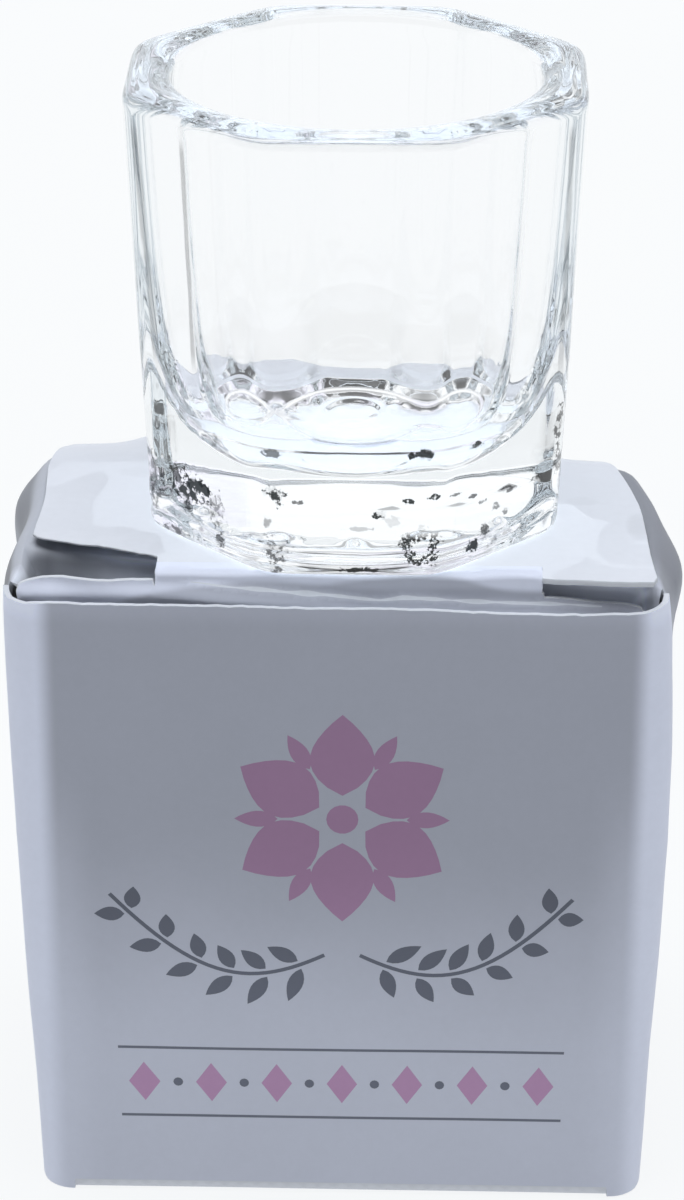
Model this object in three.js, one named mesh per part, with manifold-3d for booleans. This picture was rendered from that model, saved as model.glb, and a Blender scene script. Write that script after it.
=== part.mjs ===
// A pressed-glass dappen dish standing on the lid of its own reverse-tuck folding carton.
// Millimetres, +Z up. Origin: centre of the carton's footprint, on the floor. The printed front faces -Y.
import * as THREE from 'three';
import { mergeVertices } from 'three/addons/utils/BufferGeometryUtils.js';
import Module from 'manifold-3d';

// ---------------------------------------------------------------- driving dimensions
const BOARD = 0.4;            // folding boxboard thickness
const CARTON_W = 46;          // outside width, left to right
const CARTON_D = 33.2;        // outside depth, front to back
const CARTON_H = 49.9;        // floor to the lid's upper face
const CORNER_R = 2.4;         // outside radius of the four upright creases
const FRONT_DROP = 1.9;       // how far the front panel's raw top edge is below the lid
const LAYER_GAP = 0.1;        // air between two layers of board that lie on each other

const LID_LEN = 32.0;         // lid: rear crease to the outside of its front fold
const BASE_LEN = 31.4;        // bottom closure: shorter, its flap also has to clear the glue flap
const CLOSURE_LEFT = 21.5;    // closure panel, middle of the carton to its side edges: narrower than the carton
const CLOSURE_RIGHT = 22.0;
const CREASE_HALF_W = 20.4;   // half width of a closure panel along its hinge crease
const FOLD_R = 1.6;           // outside radius of the fold between closure panel and tuck flap
const SLIT_LEFT = 8.7;        // length of the slit locks at the ends of that fold
const SLIT_RIGHT = 7.9;
const SLIT_OPEN_LEFT = 4.6;   // how far the panel's corner is cut back from the fold there
const SLIT_OPEN_RIGHT = 0.4;  // the right corner is whole
const SLIT_CUT = 0.3;         // width of the slits
const TUCK_LEN = 11.5;        // tuck flap below the closure panel
const TUCK_HALF_W = 20.8;
const TUCK_CORNER = 5;        // rounding of the tuck flap's free corners
const DUST_LEN = 15;          // dust flap, side crease to tip
const DUST_CREASE = 14.0;     // half length of its crease on the side panel
const DUST_FRONT = 10.6;      // its free front edge, cut back to clear the slit locks
const DUST_TIP_BACK = 4.4;    // where its slanted edge meets the tip

const GLUE_LEN = 10;          // glue flap, inside the back panel
const GLUE_FILM = 0.08;       // adhesive film

const DISH_H = 32.3;
const RIM_AF = 32.3;          // across flats at the rim
const FOOT_AF = 29.2;         // across flats at the foot
const BORE_R = 13.6;          // bore at the rim, narrowing to the bowl below
const FLOOR_Z = 4.7;          // cavity floor above the foot
const PUNT_R = 8.5;           // shallow hollow under the foot
const PUNT_DEPTH = 0.9;
const DISH_X = 0.5;           // the dish stands a little right of and in front of the middle
const DISH_Y = -0.45;

// ---------------------------------------------------------------- materials
const board = (color) => new THREE.MeshStandardMaterial({ color, roughness: 0.72, metalness: 0 });
const COATED = '#dde3ee', GREYER = '#c9cfdb';
const glass = new THREE.MeshStandardMaterial({ color: '#eef4f4', roughness: 0.04, metalness: 0, transparent: true, opacity: 0.35 });
const glue = new THREE.MeshStandardMaterial({ color: '#ece9dc', roughness: 0.4, metalness: 0 });

// ---------------------------------------------------------------- shape helpers
const outline = (points) => new THREE.Shape(points.map(([x, y]) => new THREE.Vector2(x, y)));
const slab = (points, depth) => new THREE.ExtrudeGeometry(outline(points), { depth, bevelEnabled: false, steps: 1 });
// an outline in (y, z) drawn out along x
const alongX = (points, x0, x1) => {
  const g = slab(points, x1 - x0);
  g.applyMatrix4(new THREE.Matrix4().makeBasis(new THREE.Vector3(0, 1, 0), new THREE.Vector3(0, 0, 1), new THREE.Vector3(1, 0, 0)));
  return g.translate(x0, 0, 0);
};
// an outline in (x, z) drawn out along y
const alongY = (points, y0, y1) => {
  const g = slab(points, y1 - y0);
  g.applyMatrix4(new THREE.Matrix4().makeBasis(new THREE.Vector3(1, 0, 0), new THREE.Vector3(0, 0, 1), new THREE.Vector3(0, -1, 0)));
  return g.translate(0, y1, 0);
};
const arc = (cx, cy, r, from, to, n) => Array.from({ length: n + 1 }, (_, i) => {
  const t = THREE.MathUtils.degToRad(from + (to - from) * i / n);
  return [cx + r * Math.cos(t), cy + r * Math.sin(t)];
});
const piece = (name, geometry, material, x = 0, y = 0, z = 0) => {
  const mesh = new THREE.Mesh(geometry, material);
  mesh.name = name;
  mesh.position.set(x, y, z);
  return mesh;
};

// ---------------------------------------------------------------- joining and cutting
const wasm = await Module();
wasm.setup();
const solid = (geometry) => {
  const g = geometry.clone();
  for (const key of Object.keys(g.attributes)) if (key !== 'position') g.deleteAttribute(key);
  const merged = mergeVertices(g, 1e-5);
  return new wasm.Manifold(new wasm.Mesh({
    numProp: 3,
    vertProperties: new Float32Array(merged.attributes.position.array),
    triVerts: new Uint32Array(merged.index.array),
  }));
};
const geometryOf = (manifold) => {
  const m = manifold.getMesh();
  const g = new THREE.BufferGeometry();
  g.setAttribute('position', new THREE.BufferAttribute(new Float32Array(m.vertProperties), 3));
  g.setIndex(new THREE.BufferAttribute(new Uint32Array(m.triVerts), 1));
  g.computeVertexNormals();
  return g;
};

// ---------------------------------------------------------------- carton walls
const HW = CARTON_W / 2, HD = CARTON_D / 2;
const carton = new THREE.Group();

// Front panel with half of each rounded front corner. Its raw top edge is lower than the lid.
{
  const cx = HW - CORNER_R, cy = -(HD - CORNER_R);
  const plan = [
    ...arc(-cx, cy, CORNER_R, 225, 270, 3), ...arc(cx, cy, CORNER_R, 270, 315, 3),
    ...arc(cx, cy, CORNER_R - BOARD, 315, 270, 3), ...arc(-cx, cy, CORNER_R - BOARD, 270, 225, 3),
  ];
  carton.add(piece('front_panel', slab(plan, CARTON_H - FRONT_DROP - BOARD), board(GREYER), 0, 0, BOARD));
}
// Left side panel: half a front corner, the flat, half a back corner. Both its ends stand as high as the closures' faces.
{
  const cx = -(HW - CORNER_R), cy = HD - CORNER_R;
  const plan = [
    ...arc(cx, cy, CORNER_R, 135, 180, 3), ...arc(cx, -cy, CORNER_R, 180, 225, 3),
    ...arc(cx, -cy, CORNER_R - BOARD, 225, 180, 3), ...arc(cx, cy, CORNER_R - BOARD, 180, 135, 3),
  ];
  carton.add(piece('left_side_panel', slab(plan, CARTON_H), board(COATED)));
}
// Right side panel: its back corner is a board and a glue film tighter, because it turns inside the back panel.
const GLUE_OUT = HD - BOARD - GLUE_FILM;         // outside face of the glue flap
const TIGHT_R = CORNER_R - BOARD - GLUE_FILM;
const FLAP_TOP = CARTON_H - 4.2, FLAP_FOOT = 4.2; // the glue flap is cut back at both ends
{
  const cx = HW - CORNER_R, cy = HD - CORNER_R, tx = HW - TIGHT_R, ty = GLUE_OUT - TIGHT_R;
  const plan = [
    ...arc(cx, -cy, CORNER_R, 315, 360, 3), ...arc(tx, ty, TIGHT_R, 0, 60, 4),
    ...arc(tx, ty, TIGHT_R - BOARD, 60, 0, 4), ...arc(cx, -cy, CORNER_R - BOARD, 360, 315, 3),
  ];
  carton.add(piece('right_side_panel', slab(plan, CARTON_H), board(COATED)));

  // Glue flap: the last stretch of that corner and a tapered strip that lies on the back panel's inside.
  const strip = [
    ...arc(tx, ty, TIGHT_R, 60, 90, 2), [tx - GLUE_LEN, GLUE_OUT], [tx - GLUE_LEN, GLUE_OUT - BOARD],
    ...arc(tx, ty, TIGHT_R - BOARD, 90, 60, 2),
  ];
  const flap = solid(slab(strip, FLAP_TOP - FLAP_FOOT).translate(0, 0, FLAP_FOOT));
  const slant = 2.6, x0 = tx - GLUE_LEN - 1, x1 = tx;
  const low = solid(alongY([[x0, FLAP_FOOT - 1], [x1, FLAP_FOOT - 1], [x0, FLAP_FOOT + slant]], HD - 3, HD + 1));
  const high = solid(alongY([[x0, FLAP_TOP + 1], [x0, FLAP_TOP - slant], [x1, FLAP_TOP + 1]], HD - 3, HD + 1));
  carton.add(piece('glue_flap', geometryOf(flap.subtract(low).subtract(high)), board(COATED)));

  // The glue film stays a little inside the flap's outline.
  carton.add(piece('side_seam_adhesive',
    alongY([[tx - GLUE_LEN + 1, 8], [tx - 0.6, 6.5], [tx - 0.6, CARTON_H - 6.5], [tx - GLUE_LEN + 1, CARTON_H - 8]], GLUE_OUT, HD - BOARD), glue));

  // Back panel: half of the left back corner, then flat to its raw edge over the right side's fold.
  const back = [
    [tx + 0.9, HD], ...arc(-cx, cy, CORNER_R, 90, 135, 3),
    ...arc(-cx, cy, CORNER_R - BOARD, 135, 90, 3), [tx + 0.9, HD - BOARD],
  ];
  carton.add(piece('back_panel', slab(back, CARTON_H - BOARD), board(COATED)));
}

// ---------------------------------------------------------------- a closure: panel, tuck flap and two dust flaps
// Local frame: the hinge crease lies on x at y = 0, z = 0; the panel runs towards -y, its outer face at z = BOARD.
const closure = (names, length, slits, opens) => {
  const group = new THREE.Group();
  const flatEnd = -length + FOLD_R, l = CLOSURE_LEFT, r = CLOSURE_RIGHT, c = CREASE_HALF_W;
  const xl = -l + slits[0], xr = r - slits[1];
  const yl = -length + opens[0], yr = -length + opens[1];
  // flat part, full width, with its rear corners taken in to the crease and its front corners cut back at the slits
  const cutL = yl < flatEnd ? SLIT_CUT : 0, cutR = yr < flatEnd ? SLIT_CUT : 0;
  const plate = solid(slab([
    [-c, 0], [-l, -2.0], [-l, yl + 1.0], [-l + 0.8, yl + 0.2], [xl - cutL, yl], ...(cutL ? [[xl - cutL, flatEnd]] : []), [xl, flatEnd],
    [xr, flatEnd], ...(cutR ? [[xr + cutR, flatEnd]] : []), [xr + cutR, yr], [r - 0.8, yr + 0.1], [r, yr + 0.9], [r, -2.0], [c, 0],
  ], BOARD));
  // middle part, between the slits, carried round the fold
  const bend = solid(alongX([
    [flatEnd + 1, BOARD], ...arc(flatEnd, BOARD - FOLD_R, FOLD_R, 90, 180, 6),
    ...arc(flatEnd, BOARD - FOLD_R, FOLD_R - BOARD, 180, 90, 6), [flatEnd + 1, 0],
  ], xl, xr));
  group.add(piece(names.panel, geometryOf(plate.add(bend)), board(COATED)));

  // tuck flap: hangs from the fold, with shoulders under the slits and rounded free corners
  const top = BOARD - FOLD_R, low = -TUCK_LEN, t = TUCK_HALF_W, k = TUCK_CORNER, up = -0.1, slack = 0.15;
  const tuck = alongY([
    [xl, top], [xl - slack, top], [xl - slack, up], [-t, up - 0.2], ...arc(-t + k, low + k, k, 180, 270, 5),
    ...arc(t - k, low + k, k, 270, 360, 5), [t, up - 0.2], [xr + slack, up], [xr + slack, top], [xr, top],
  ], -length, -length + BOARD);
  group.add(piece(names.tuck, tuck, board(COATED)));

  // dust flaps: hinged on the side panels' inner faces, one layer below the closure panel
  const inner = HW - BOARD;
  for (const side of [-1, 1]) {
    const hingeY = -HD; // the carton's middle, seen from the hinge crease
    const pts = [
      [0, -DUST_CREASE + 0.6], [0.8, -DUST_CREASE + 0.6], [2.8, -DUST_FRONT], [DUST_LEN - 1.6, -DUST_FRONT], [DUST_LEN, -DUST_FRONT + 1.6],
      [DUST_LEN, DUST_TIP_BACK], [1.6, DUST_CREASE], [0, DUST_CREASE],
    ].map(([l, y]) => [side < 0 ? l : -l, y]);
    const flap = slab(side < 0 ? pts : pts.reverse(), BOARD);
    group.add(piece(side < 0 ? names.left : names.right, flap, board(COATED),
      side * inner, hingeY, -LAYER_GAP - BOARD));
  }
  return group;
};

const top = closure({ panel: 'lid_panel', tuck: 'lid_tuck_flap', left: 'top_left_dust_flap', right: 'top_right_dust_flap' },
  LID_LEN, [SLIT_LEFT, SLIT_RIGHT], [SLIT_OPEN_LEFT, SLIT_OPEN_RIGHT]);
top.position.set(0, HD, CARTON_H - BOARD);
carton.add(top);

const bottom = closure({ panel: 'bottom_panel', tuck: 'bottom_tuck_flap', left: 'bottom_left_dust_flap', right: 'bottom_right_dust_flap' },
  BASE_LEN, [SLIT_LEFT, SLIT_RIGHT], [SLIT_OPEN_RIGHT, SLIT_OPEN_RIGHT]);
bottom.rotation.x = Math.PI;
bottom.position.set(0, -HD, BOARD);
carton.add(bottom);

// ---------------------------------------------------------------- glass dish
// Eight-sided taper, its upright edges blunted by a round taper, with a rounded bore and a shallow hollow below.
const lathe = (points, segments, start = 0) => {
  const g = new THREE.LatheGeometry(points.map(([r, z]) => new THREE.Vector2(r, z)), segments, start);
  return g.rotateX(Math.PI / 2); // lathe axis from y to z
};
{
  const toCorner = 1 / Math.cos(Math.PI / 8), foot = FOOT_AF / 2, rim = RIM_AF / 2;
  const at = (z) => foot + (rim - foot) * z / DISH_H;
  const facets = solid(lathe([
    [0, 0], [(foot - 0.9) * toCorner, 0], [(at(0.3) - 0.3) * toCorner, 0.3], [at(1.0) * toCorner, 1.0],
    [at(DISH_H - 0.7) * toCorner, DISH_H - 0.7], [(rim - 0.5) * toCorner, DISH_H], [0, DISH_H],
  ], 8, Math.PI / 8));
  const blunt = 0.55; // how much of each corner is taken off
  const round = solid(lathe([
    [0, -1], [at(-1) * toCorner - blunt, -1], [at(DISH_H + 1) * toCorner - blunt, DISH_H + 1], [0, DISH_H + 1],
  ], 64, Math.PI / 64));
  const bore = solid(lathe([
    [0, FLOOR_Z], [4.0, FLOOR_Z + 0.25], [6.0, FLOOR_Z + 0.7], [8.2, FLOOR_Z + 1.7], [10.05, FLOOR_Z + 3.4], [11.3, FLOOR_Z + 6.0],
    [12.0, FLOOR_Z + 9.4], [12.36, FLOOR_Z + 13.5], [BORE_R - 0.48, DISH_H - 1.1], [BORE_R, DISH_H], [BORE_R, DISH_H + 2], [0, DISH_H + 2],
  ], 48));
  const punt = solid(lathe([
    [0, -2], [PUNT_R + 0.05, -2], [PUNT_R, 0], [PUNT_R * 0.8, PUNT_DEPTH * 0.45], [PUNT_R * 0.5, PUNT_DEPTH * 0.8], [PUNT_R * 0.22, PUNT_DEPTH * 0.97], [0, PUNT_DEPTH],
  ], 32));
  const body = facets.intersect(round).subtract(bore).subtract(punt);
  const dish = piece('glass_dish', geometryOf(body), glass, DISH_X, DISH_Y, CARTON_H);
  const group = new THREE.Group();
  group.add(dish, carton);
  var assembly = group;
}

export default assembly;
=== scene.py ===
"""A pressed-glass dappen dish on its folding carton. Lengths inside the script are millimetres until mesh_object()."""
import math

import bpy
import numpy as np
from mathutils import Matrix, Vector, geometry, noise


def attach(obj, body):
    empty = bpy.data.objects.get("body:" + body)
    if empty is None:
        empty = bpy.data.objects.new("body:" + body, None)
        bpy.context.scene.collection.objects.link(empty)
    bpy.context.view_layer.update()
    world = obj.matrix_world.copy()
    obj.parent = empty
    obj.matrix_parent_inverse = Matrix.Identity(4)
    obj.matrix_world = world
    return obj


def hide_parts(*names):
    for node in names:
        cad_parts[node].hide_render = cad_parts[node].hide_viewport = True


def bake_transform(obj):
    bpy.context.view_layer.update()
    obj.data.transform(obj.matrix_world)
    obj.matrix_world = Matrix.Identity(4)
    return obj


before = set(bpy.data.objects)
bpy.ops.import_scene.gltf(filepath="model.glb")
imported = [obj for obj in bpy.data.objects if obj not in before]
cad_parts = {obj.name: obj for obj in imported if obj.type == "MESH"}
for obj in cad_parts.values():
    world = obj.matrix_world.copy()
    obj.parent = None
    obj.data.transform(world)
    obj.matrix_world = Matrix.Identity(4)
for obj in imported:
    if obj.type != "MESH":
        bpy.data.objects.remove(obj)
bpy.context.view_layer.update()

MM = 0.001
scene = bpy.context.scene
scene.view_settings.view_transform = "Standard"
scene.view_settings.look = "None"
scene.view_settings.exposure = 0.0
scene.view_settings.gamma = 1.0
# light may turn many times inside thick glass
scene.cycles.max_bounces = 32
scene.cycles.glossy_bounces = 28
scene.cycles.transmission_bounces = 28

# ------------------------------------------------------------------ camera
PITCH, YAW, ROLL = math.radians(24.7297), math.radians(-1.4905), math.radians(0.1099)
FOCAL_PX, DIST = 4104.59, 285.673
fwd = Vector((math.sin(YAW) * math.cos(PITCH), math.cos(YAW) * math.cos(PITCH), -math.sin(PITCH)))
right = Vector((math.cos(YAW), -math.sin(YAW), 0))
up = right.cross(fwd)
cam_x = math.cos(ROLL) * right + math.sin(ROLL) * up
cam_y = -math.sin(ROLL) * right + math.cos(ROLL) * up
cam_pos = Vector((-0.062, -16.6, 48.693)) - fwd * DIST
cam = bpy.data.cameras.new("camera")
cam.sensor_fit = "HORIZONTAL"
cam.sensor_width = 36
cam.lens = FOCAL_PX * 36 / 684
cam.clip_start, cam.clip_end = 0.01, 20
camera = bpy.data.objects.new("camera", cam)
scene.collection.objects.link(camera)
from mathutils import Matrix
rot = Matrix((cam_x, cam_y, -fwd)).transposed()
camera.matrix_world = Matrix.Translation(cam_pos * MM) @ rot.to_4x4()
scene.camera = camera


# ------------------------------------------------------------------ node helpers
class Nodes:
    """A few words for writing node trees."""

    def __init__(self, tree):
        self.t = tree
        tree.nodes.clear()

    def add(self, kind, inputs=None, **props):
        n = self.t.nodes.new(kind)
        for k, v in props.items():
            setattr(n, k, v)
        for k, v in (inputs or {}).items():
            if isinstance(v, bpy.types.NodeSocket):
                self.t.links.new(v, n.inputs[k])
            else:
                n.inputs[k].default_value = v
        return n

    def math(self, op, a, b=None, c=None, clamp=False):
        n = self.t.nodes.new("ShaderNodeMath")
        n.operation = op
        n.use_clamp = clamp
        for i, v in enumerate((a, b, c)):
            if v is None:
                continue
            if isinstance(v, bpy.types.NodeSocket):
                self.t.links.new(v, n.inputs[i])
            else:
                n.inputs[i].default_value = v
        return n.outputs[0]

    def step(self, value, lo, hi, a=0.0, b=1.0):
        n = self.t.nodes.new("ShaderNodeMapRange")
        n.interpolation_type = "SMOOTHSTEP"
        self.t.links.new(value, n.inputs["Value"])
        for k, v in (("From Min", lo), ("From Max", hi), ("To Min", a), ("To Max", b)):
            n.inputs[k].default_value = v
        return n.outputs["Result"]

    def noise(self, vector, scale, detail=2.0, rough=0.5, distortion=0.0):
        n = self.add("ShaderNodeTexNoise", {"Scale": scale, "Detail": detail, "Roughness": rough, "Distortion": distortion})
        self.t.links.new(vector, n.inputs["Vector"])
        return n.outputs["Fac"]

    def mix(self, fac, a, b):
        n = self.t.nodes.new("ShaderNodeMix")
        n.data_type = "RGBA"
        for name, v in (("Factor", fac), ("A", a), ("B", b)):
            sock = [s for s in n.inputs if s.name == name and (s.type == "RGBA" or name == "Factor" and s.type == "VALUE")][0]
            if isinstance(v, bpy.types.NodeSocket):
                self.t.links.new(v, sock)
            else:
                sock.default_value = v
        return [s for s in n.outputs if s.type == "RGBA"][0]


def material(name):
    m = bpy.data.materials.new(name)
    m.use_nodes = True
    return m, Nodes(m.node_tree)


# ------------------------------------------------------------------ light
world = bpy.data.worlds.new("studio")
scene.world = world
world.use_nodes = True
W = Nodes(world.node_tree)
dirn = W.add("ShaderNodeTexCoord").outputs["Generated"]
sep = W.add("ShaderNodeSeparateXYZ", {"Vector": dirn})
dx, dy, dz = sep.outputs
flat_len = W.math("SQRT", W.math("ADD", W.math("MULTIPLY", dx, dx), W.math("MULTIPLY", dy, dy)))
back = W.math("DIVIDE", dy, W.math("ADD", flat_len, 1e-4))            # 1 behind the object, -1 in front
side = W.math("ABSOLUTE", W.math("DIVIDE", dx, W.math("ADD", flat_len, 1e-4)))
# what lights the matt surfaces: a wide soft source overhead and little from the sides
overhead = W.step(dz, 0.84, 0.96, 0.0, 5.6)
room = W.step(back, -0.8, 0.9, 0.095, 0.14)
soft = W.math("ADD", overhead, room)
# what clear glass and the lens see: a bright surround, dark on the camera's side, with two narrow grey screens beside the set
bright = W.step(back, -0.62, 0.02, 0.04, 1.0)
high = W.math("MULTIPLY", W.step(dz, 0.70, 0.74), W.step(dz, 0.90, 0.94, 1.0, 0.0))
bright = W.math("MULTIPLY", bright, W.math("SUBTRACT", 1.0, W.math("MULTIPLY", high, 0.45)))
bar = W.math("MULTIPLY", W.step(side, 0.78, 0.84), W.step(side, 0.92, 0.96, 1.0, 0.0))
bar = W.math("MULTIPLY", bar, W.step(dz, 0.42, 0.52, 1.0, 0.0))
bright = W.math("MULTIPLY", bright, W.math("SUBTRACT", 1.0, W.math("MULTIPLY", bar, 0.35)))
bright = W.math("MULTIPLY", bright, W.step(dz, -0.12, 0.10, 1.0, 1.14))
path = W.add("ShaderNodeLightPath")
seen = W.math("MAXIMUM", path.outputs["Is Camera Ray"], path.outputs["Is Transmission Ray"])
seen = W.math("MAXIMUM", seen, path.outputs["Is Glossy Ray"])
level = W.math("ADD", W.math("MULTIPLY", soft, W.math("SUBTRACT", 1.0, seen)), W.math("MULTIPLY", bright, seen))
lilac = W.math("MULTIPLY", W.step(W.math("DIVIDE", dx, W.math("ADD", flat_len, 1e-4)), 0.30, 0.60), seen)   # a lilac wall far to the right
bg = W.add("ShaderNodeBackground", {"Color": W.mix(lilac, (0.975, 0.985, 1.0, 1.0), (0.90, 0.89, 1.0, 1.0)), "Strength": level})
W.add("ShaderNodeOutputWorld", {"Surface": bg.outputs[0]})

# ------------------------------------------------------------------ floor
floor_mesh = bpy.data.meshes.new("floor")
S, N_F = 6.0, 24
fv = [(-S + 2 * S * i / N_F, -S + 2 * S * j / N_F, 0.0) for j in range(N_F + 1) for i in range(N_F + 1)]
ff = [(j * (N_F + 1) + i, j * (N_F + 1) + i + 1, (j + 1) * (N_F + 1) + i + 1, (j + 1) * (N_F + 1) + i) for j in range(N_F) for i in range(N_F)]
floor_mesh.from_pydata(fv, [], ff)
floor = bpy.data.objects.new("floor", floor_mesh)
scene.collection.objects.link(floor)
m, T = material("floor_white")
co = T.add("ShaderNodeTexCoord").outputs["Object"]
f = T.noise(co, 9.0, 3.0)
col = T.mix(f, (0.080, 0.082, 0.084, 1), (0.086, 0.088, 0.090, 1))
# a light table: it glows evenly, so nothing standing on it throws a shadow
p = T.add("ShaderNodeBsdfPrincipled", {"Base Color": col, "Roughness": 0.9, "Specular IOR Level": 0.1,
                                       "Emission Color": (0.975, 0.99, 1.0, 1.0), "Emission Strength": 0.87})
T.add("ShaderNodeOutputMaterial", {"Surface": p.outputs[0]})
floor_mesh.materials.append(m)


# ------------------------------------------------------------------ mesh helper
def mesh_object(name, verts, faces, mats, face_mats=None, sharp=None, smooth=True):
    """verts in mm, faces as index lists."""
    me = bpy.data.meshes.new(name)
    me.from_pydata([tuple(c * MM for c in v) for v in verts], [], [tuple(int(i) for i in f) for f in faces])
    for mat in mats:
        me.materials.append(mat)
    if face_mats is not None:
        me.polygons.foreach_set("material_index", np.asarray(face_mats, np.int32))
    me.polygons.foreach_set("use_smooth", np.full(len(me.polygons), smooth))
    if sharp:
        keys = {tuple(sorted(e)) for e in sharp}
        attr = me.attributes.new("sharp_edge", "BOOLEAN", "EDGE")
        ed = np.empty(len(me.edges) * 2, np.int32)
        me.edges.foreach_get("vertices", ed)
        ed = ed.reshape(-1, 2)
        attr.data.foreach_set("value", np.array([tuple(sorted(map(int, e))) in keys for e in ed]))
    me.validate(verbose=False)
    me.update()
    ob = bpy.data.objects.new(name, me)
    scene.collection.objects.link(ob)
    return ob


def smoothstep(a, b, x):
    t = np.clip((x - a) / (b - a), 0, 1)
    return t * t * (3 - 2 * t)


# ------------------------------------------------------------------ glass dish
DISH = dict(x=0.5, y=-0.9, z=49.93, turn=0.1)
H, RIM, FOOT = 32.27, 16.15, 14.6          # height, half across flats at rim and at foot
CAVITY_FLOOR = 4.7


def octagon(theta, power):
    """Outline of a blunted octagon with a flat facing front, as a share of its apothem."""
    s = np.zeros_like(theta)
    for k in range(8):
        c = np.cos(theta - k * math.pi / 4)
        s = s + np.where(c > 0, c, 0.0) ** power
    return s ** (-1.0 / power)


# pits in the underside: place, reach, depth
PITS = [(4.6, -6.3, 0.75, 0.45), (8.3, -4.2, 0.6, 0.35), (-4.8, -7.0, 0.7, 0.40), (0.2, -8.0, 0.8, 0.30), (-8.2, -2.5, 0.9, 0.4), (6.0, 5.0, 0.8, 0.35), (2.5, 1.5, 0.6, 0.25)]


def build_dish():
    # angles bunch up towards the eight corners
    per = 44
    t = np.linspace(0, 1, per, endpoint=False)
    w = t - 0.11 * np.sin(2 * math.pi * t) * 1.0
    theta = np.concatenate([(k + w) * math.pi / 4 for k in range(8)]) - math.pi / 2
    theta = theta  # facet centres at the ends of each stretch, corners in the middle
    # move the bunching: corners lie at half stretches
    t2 = np.linspace(-0.5, 0.5, per, endpoint=False)
    w2 = t2 + 0.10 * np.sin(2 * math.pi * t2)
    theta = np.concatenate([(k + 0.5 + w2) * math.pi / 4 for k in range(8)]) - math.pi / 2
    n = len(theta)
    oct_ = octagon(theta, 30.0)
    corner = (oct_ - 1.0) / (oct_.max() - 1.0)

    rows = []                                   # each row: (radius array, height array)

    def outer(z, inset=0.0):
        r = FOOT + (RIM - FOOT) * z / H
        return (r - inset) * oct_, np.full(n, z)

    # outside, foot edge to rim
    er = 0.55                                    # soft pressed foot edge
    for a in np.linspace(0, 90, 8):
        z = er * (1 - math.cos(math.radians(a)))
        inset = er * (1 - math.sin(math.radians(a)))
        r, h = outer(z, inset)
        rows.append((r, h))
    for z in (1.15, 1.6, 2.4, 3.6, 5.2, 7.0, 9.0, 11.5, 14.0, 16.5, 19.0, 21.5, 24.0, 26.0, 28.0, 29.6, 30.6, 31.1):
        rows.append(outer(z))
    rr = 0.85                                    # fire-polished rim edge
    for a in np.linspace(0, 90, 8):
        z = H - rr + rr * math.sin(math.radians(a))
        r, h = outer(z, rr * (1 - math.cos(math.radians(a))))
        rows.append((r, h))
    # rim: from the octagon in to the round bore, very slightly domed
    bore_top = 13.6
    last = rows[-1][0]
    for k in (0.08, 0.2, 0.4, 0.6, 0.8, 0.92):
        rows.append((last * (1 - k) + bore_top * k, np.full(n, H + 0.20 * math.sin(math.pi * k))))
    ri = 0.60
    for a in np.linspace(0, 90, 7):
        rows.append((np.full(n, bore_top - ri * math.sin(math.radians(a))), np.full(n, H - ri * (1 - math.cos(math.radians(a))))))
    # bore
    prof = [(13.12, 31.2), (13.06, 30.0), (12.96, 28.0), (12.86, 26.0), (12.74, 24.0), (12.62, 22.0), (12.50, 20.0), (12.36, 18.2),
            (12.18, 16.6), (12.0, 15.2), (11.72, 13.9), (11.30, 12.75), (10.75, 11.75), (10.05, 10.9), (9.2, 10.2), (8.2, 9.65),
            (7.1, 9.22), (6.0, 8.92), (5.2, 8.76), (4.6, 8.66), (4.2, 8.60), (3.9, 8.56), (3.6, 8.53), (3.3, 8.50), (3.0, 8.48), (2.6, 8.46), (2.0, 8.43), (1.4, 8.41), (0.7, 8.4)]
    for r, z in prof:
        if z < 18.2:
            z = CAVITY_FLOOR + (z - 8.4) * (18.2 - CAVITY_FLOOR) / (18.2 - 8.4)
        z += 0.16 * math.exp(-((r - 3.75) / 0.42) ** 2)       # faint plunger ring
        rows.append((np.full(n, r), np.full(n, z)))
    top_rows = len(rows)
    verts, faces = [], []
    for r, h in rows:
        for i in range(n):
            verts.append((r[i] * math.cos(theta[i]), r[i] * math.sin(theta[i]), h[i]))
    for j in range(top_rows - 1):
        for i in range(n):
            k = (i + 1) % n
            faces.append((j * n + i, j * n + k, (j + 1) * n + k, (j + 1) * n + i))
    c = len(verts)
    verts.append((0, 0, CAVITY_FLOOR - 0.01))
    for i in range(n):
        faces.append(((top_rows - 1) * n + i, (top_rows - 1) * n + (i + 1) % n, c))
    # underside: foot ring then the punt
    under = []
    first = rows[0][0]
    for k, z in ((0.25, 0.0), (0.55, 0.0), (0.85, 0.0)):
        under.append((first * (1 - k) + 11.7 * k, np.full(n, z)))
    for r, z in ((11.6, 0.0), (11.45, 0.04), (11.3, 0.14), (11.15, 0.32), (11.0, 0.52), (10.85, 0.68), (10.6, 0.82), (10.3, 0.92), (9.8, 1.0), (9.2, 1.05), (8.5, 1.09), (7.8, 1.12), (7.0, 1.15), (6.2, 1.17), (5.4, 1.19),
                 (4.6, 1.20), (3.8, 1.21), (3.0, 1.22), (2.2, 1.23), (1.4, 1.23), (0.8, 1.23)):
        under.append((np.full(n, r), np.full(n, z)))
    base = len(verts)
    for r, h in under:
        for i in range(n):
            verts.append((r[i] * math.cos(theta[i]), r[i] * math.sin(theta[i]), h[i]))
    for i in range(n):
        k = (i + 1) % n
        faces.append((k, i, base + i, base + k))
    for j in range(len(under) - 1):
        for i in range(n):
            k = (i + 1) % n
            faces.append((base + j * n + k, base + j * n + i, base + (j + 1) * n + i, base + (j + 1) * n + k))
    c = len(verts)
    verts.append((0, 0, 1.235))
    for i in range(n):
        j = base + (len(under) - 1) * n
        faces.append((j + (i + 1) % n, j + i, c))
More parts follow.
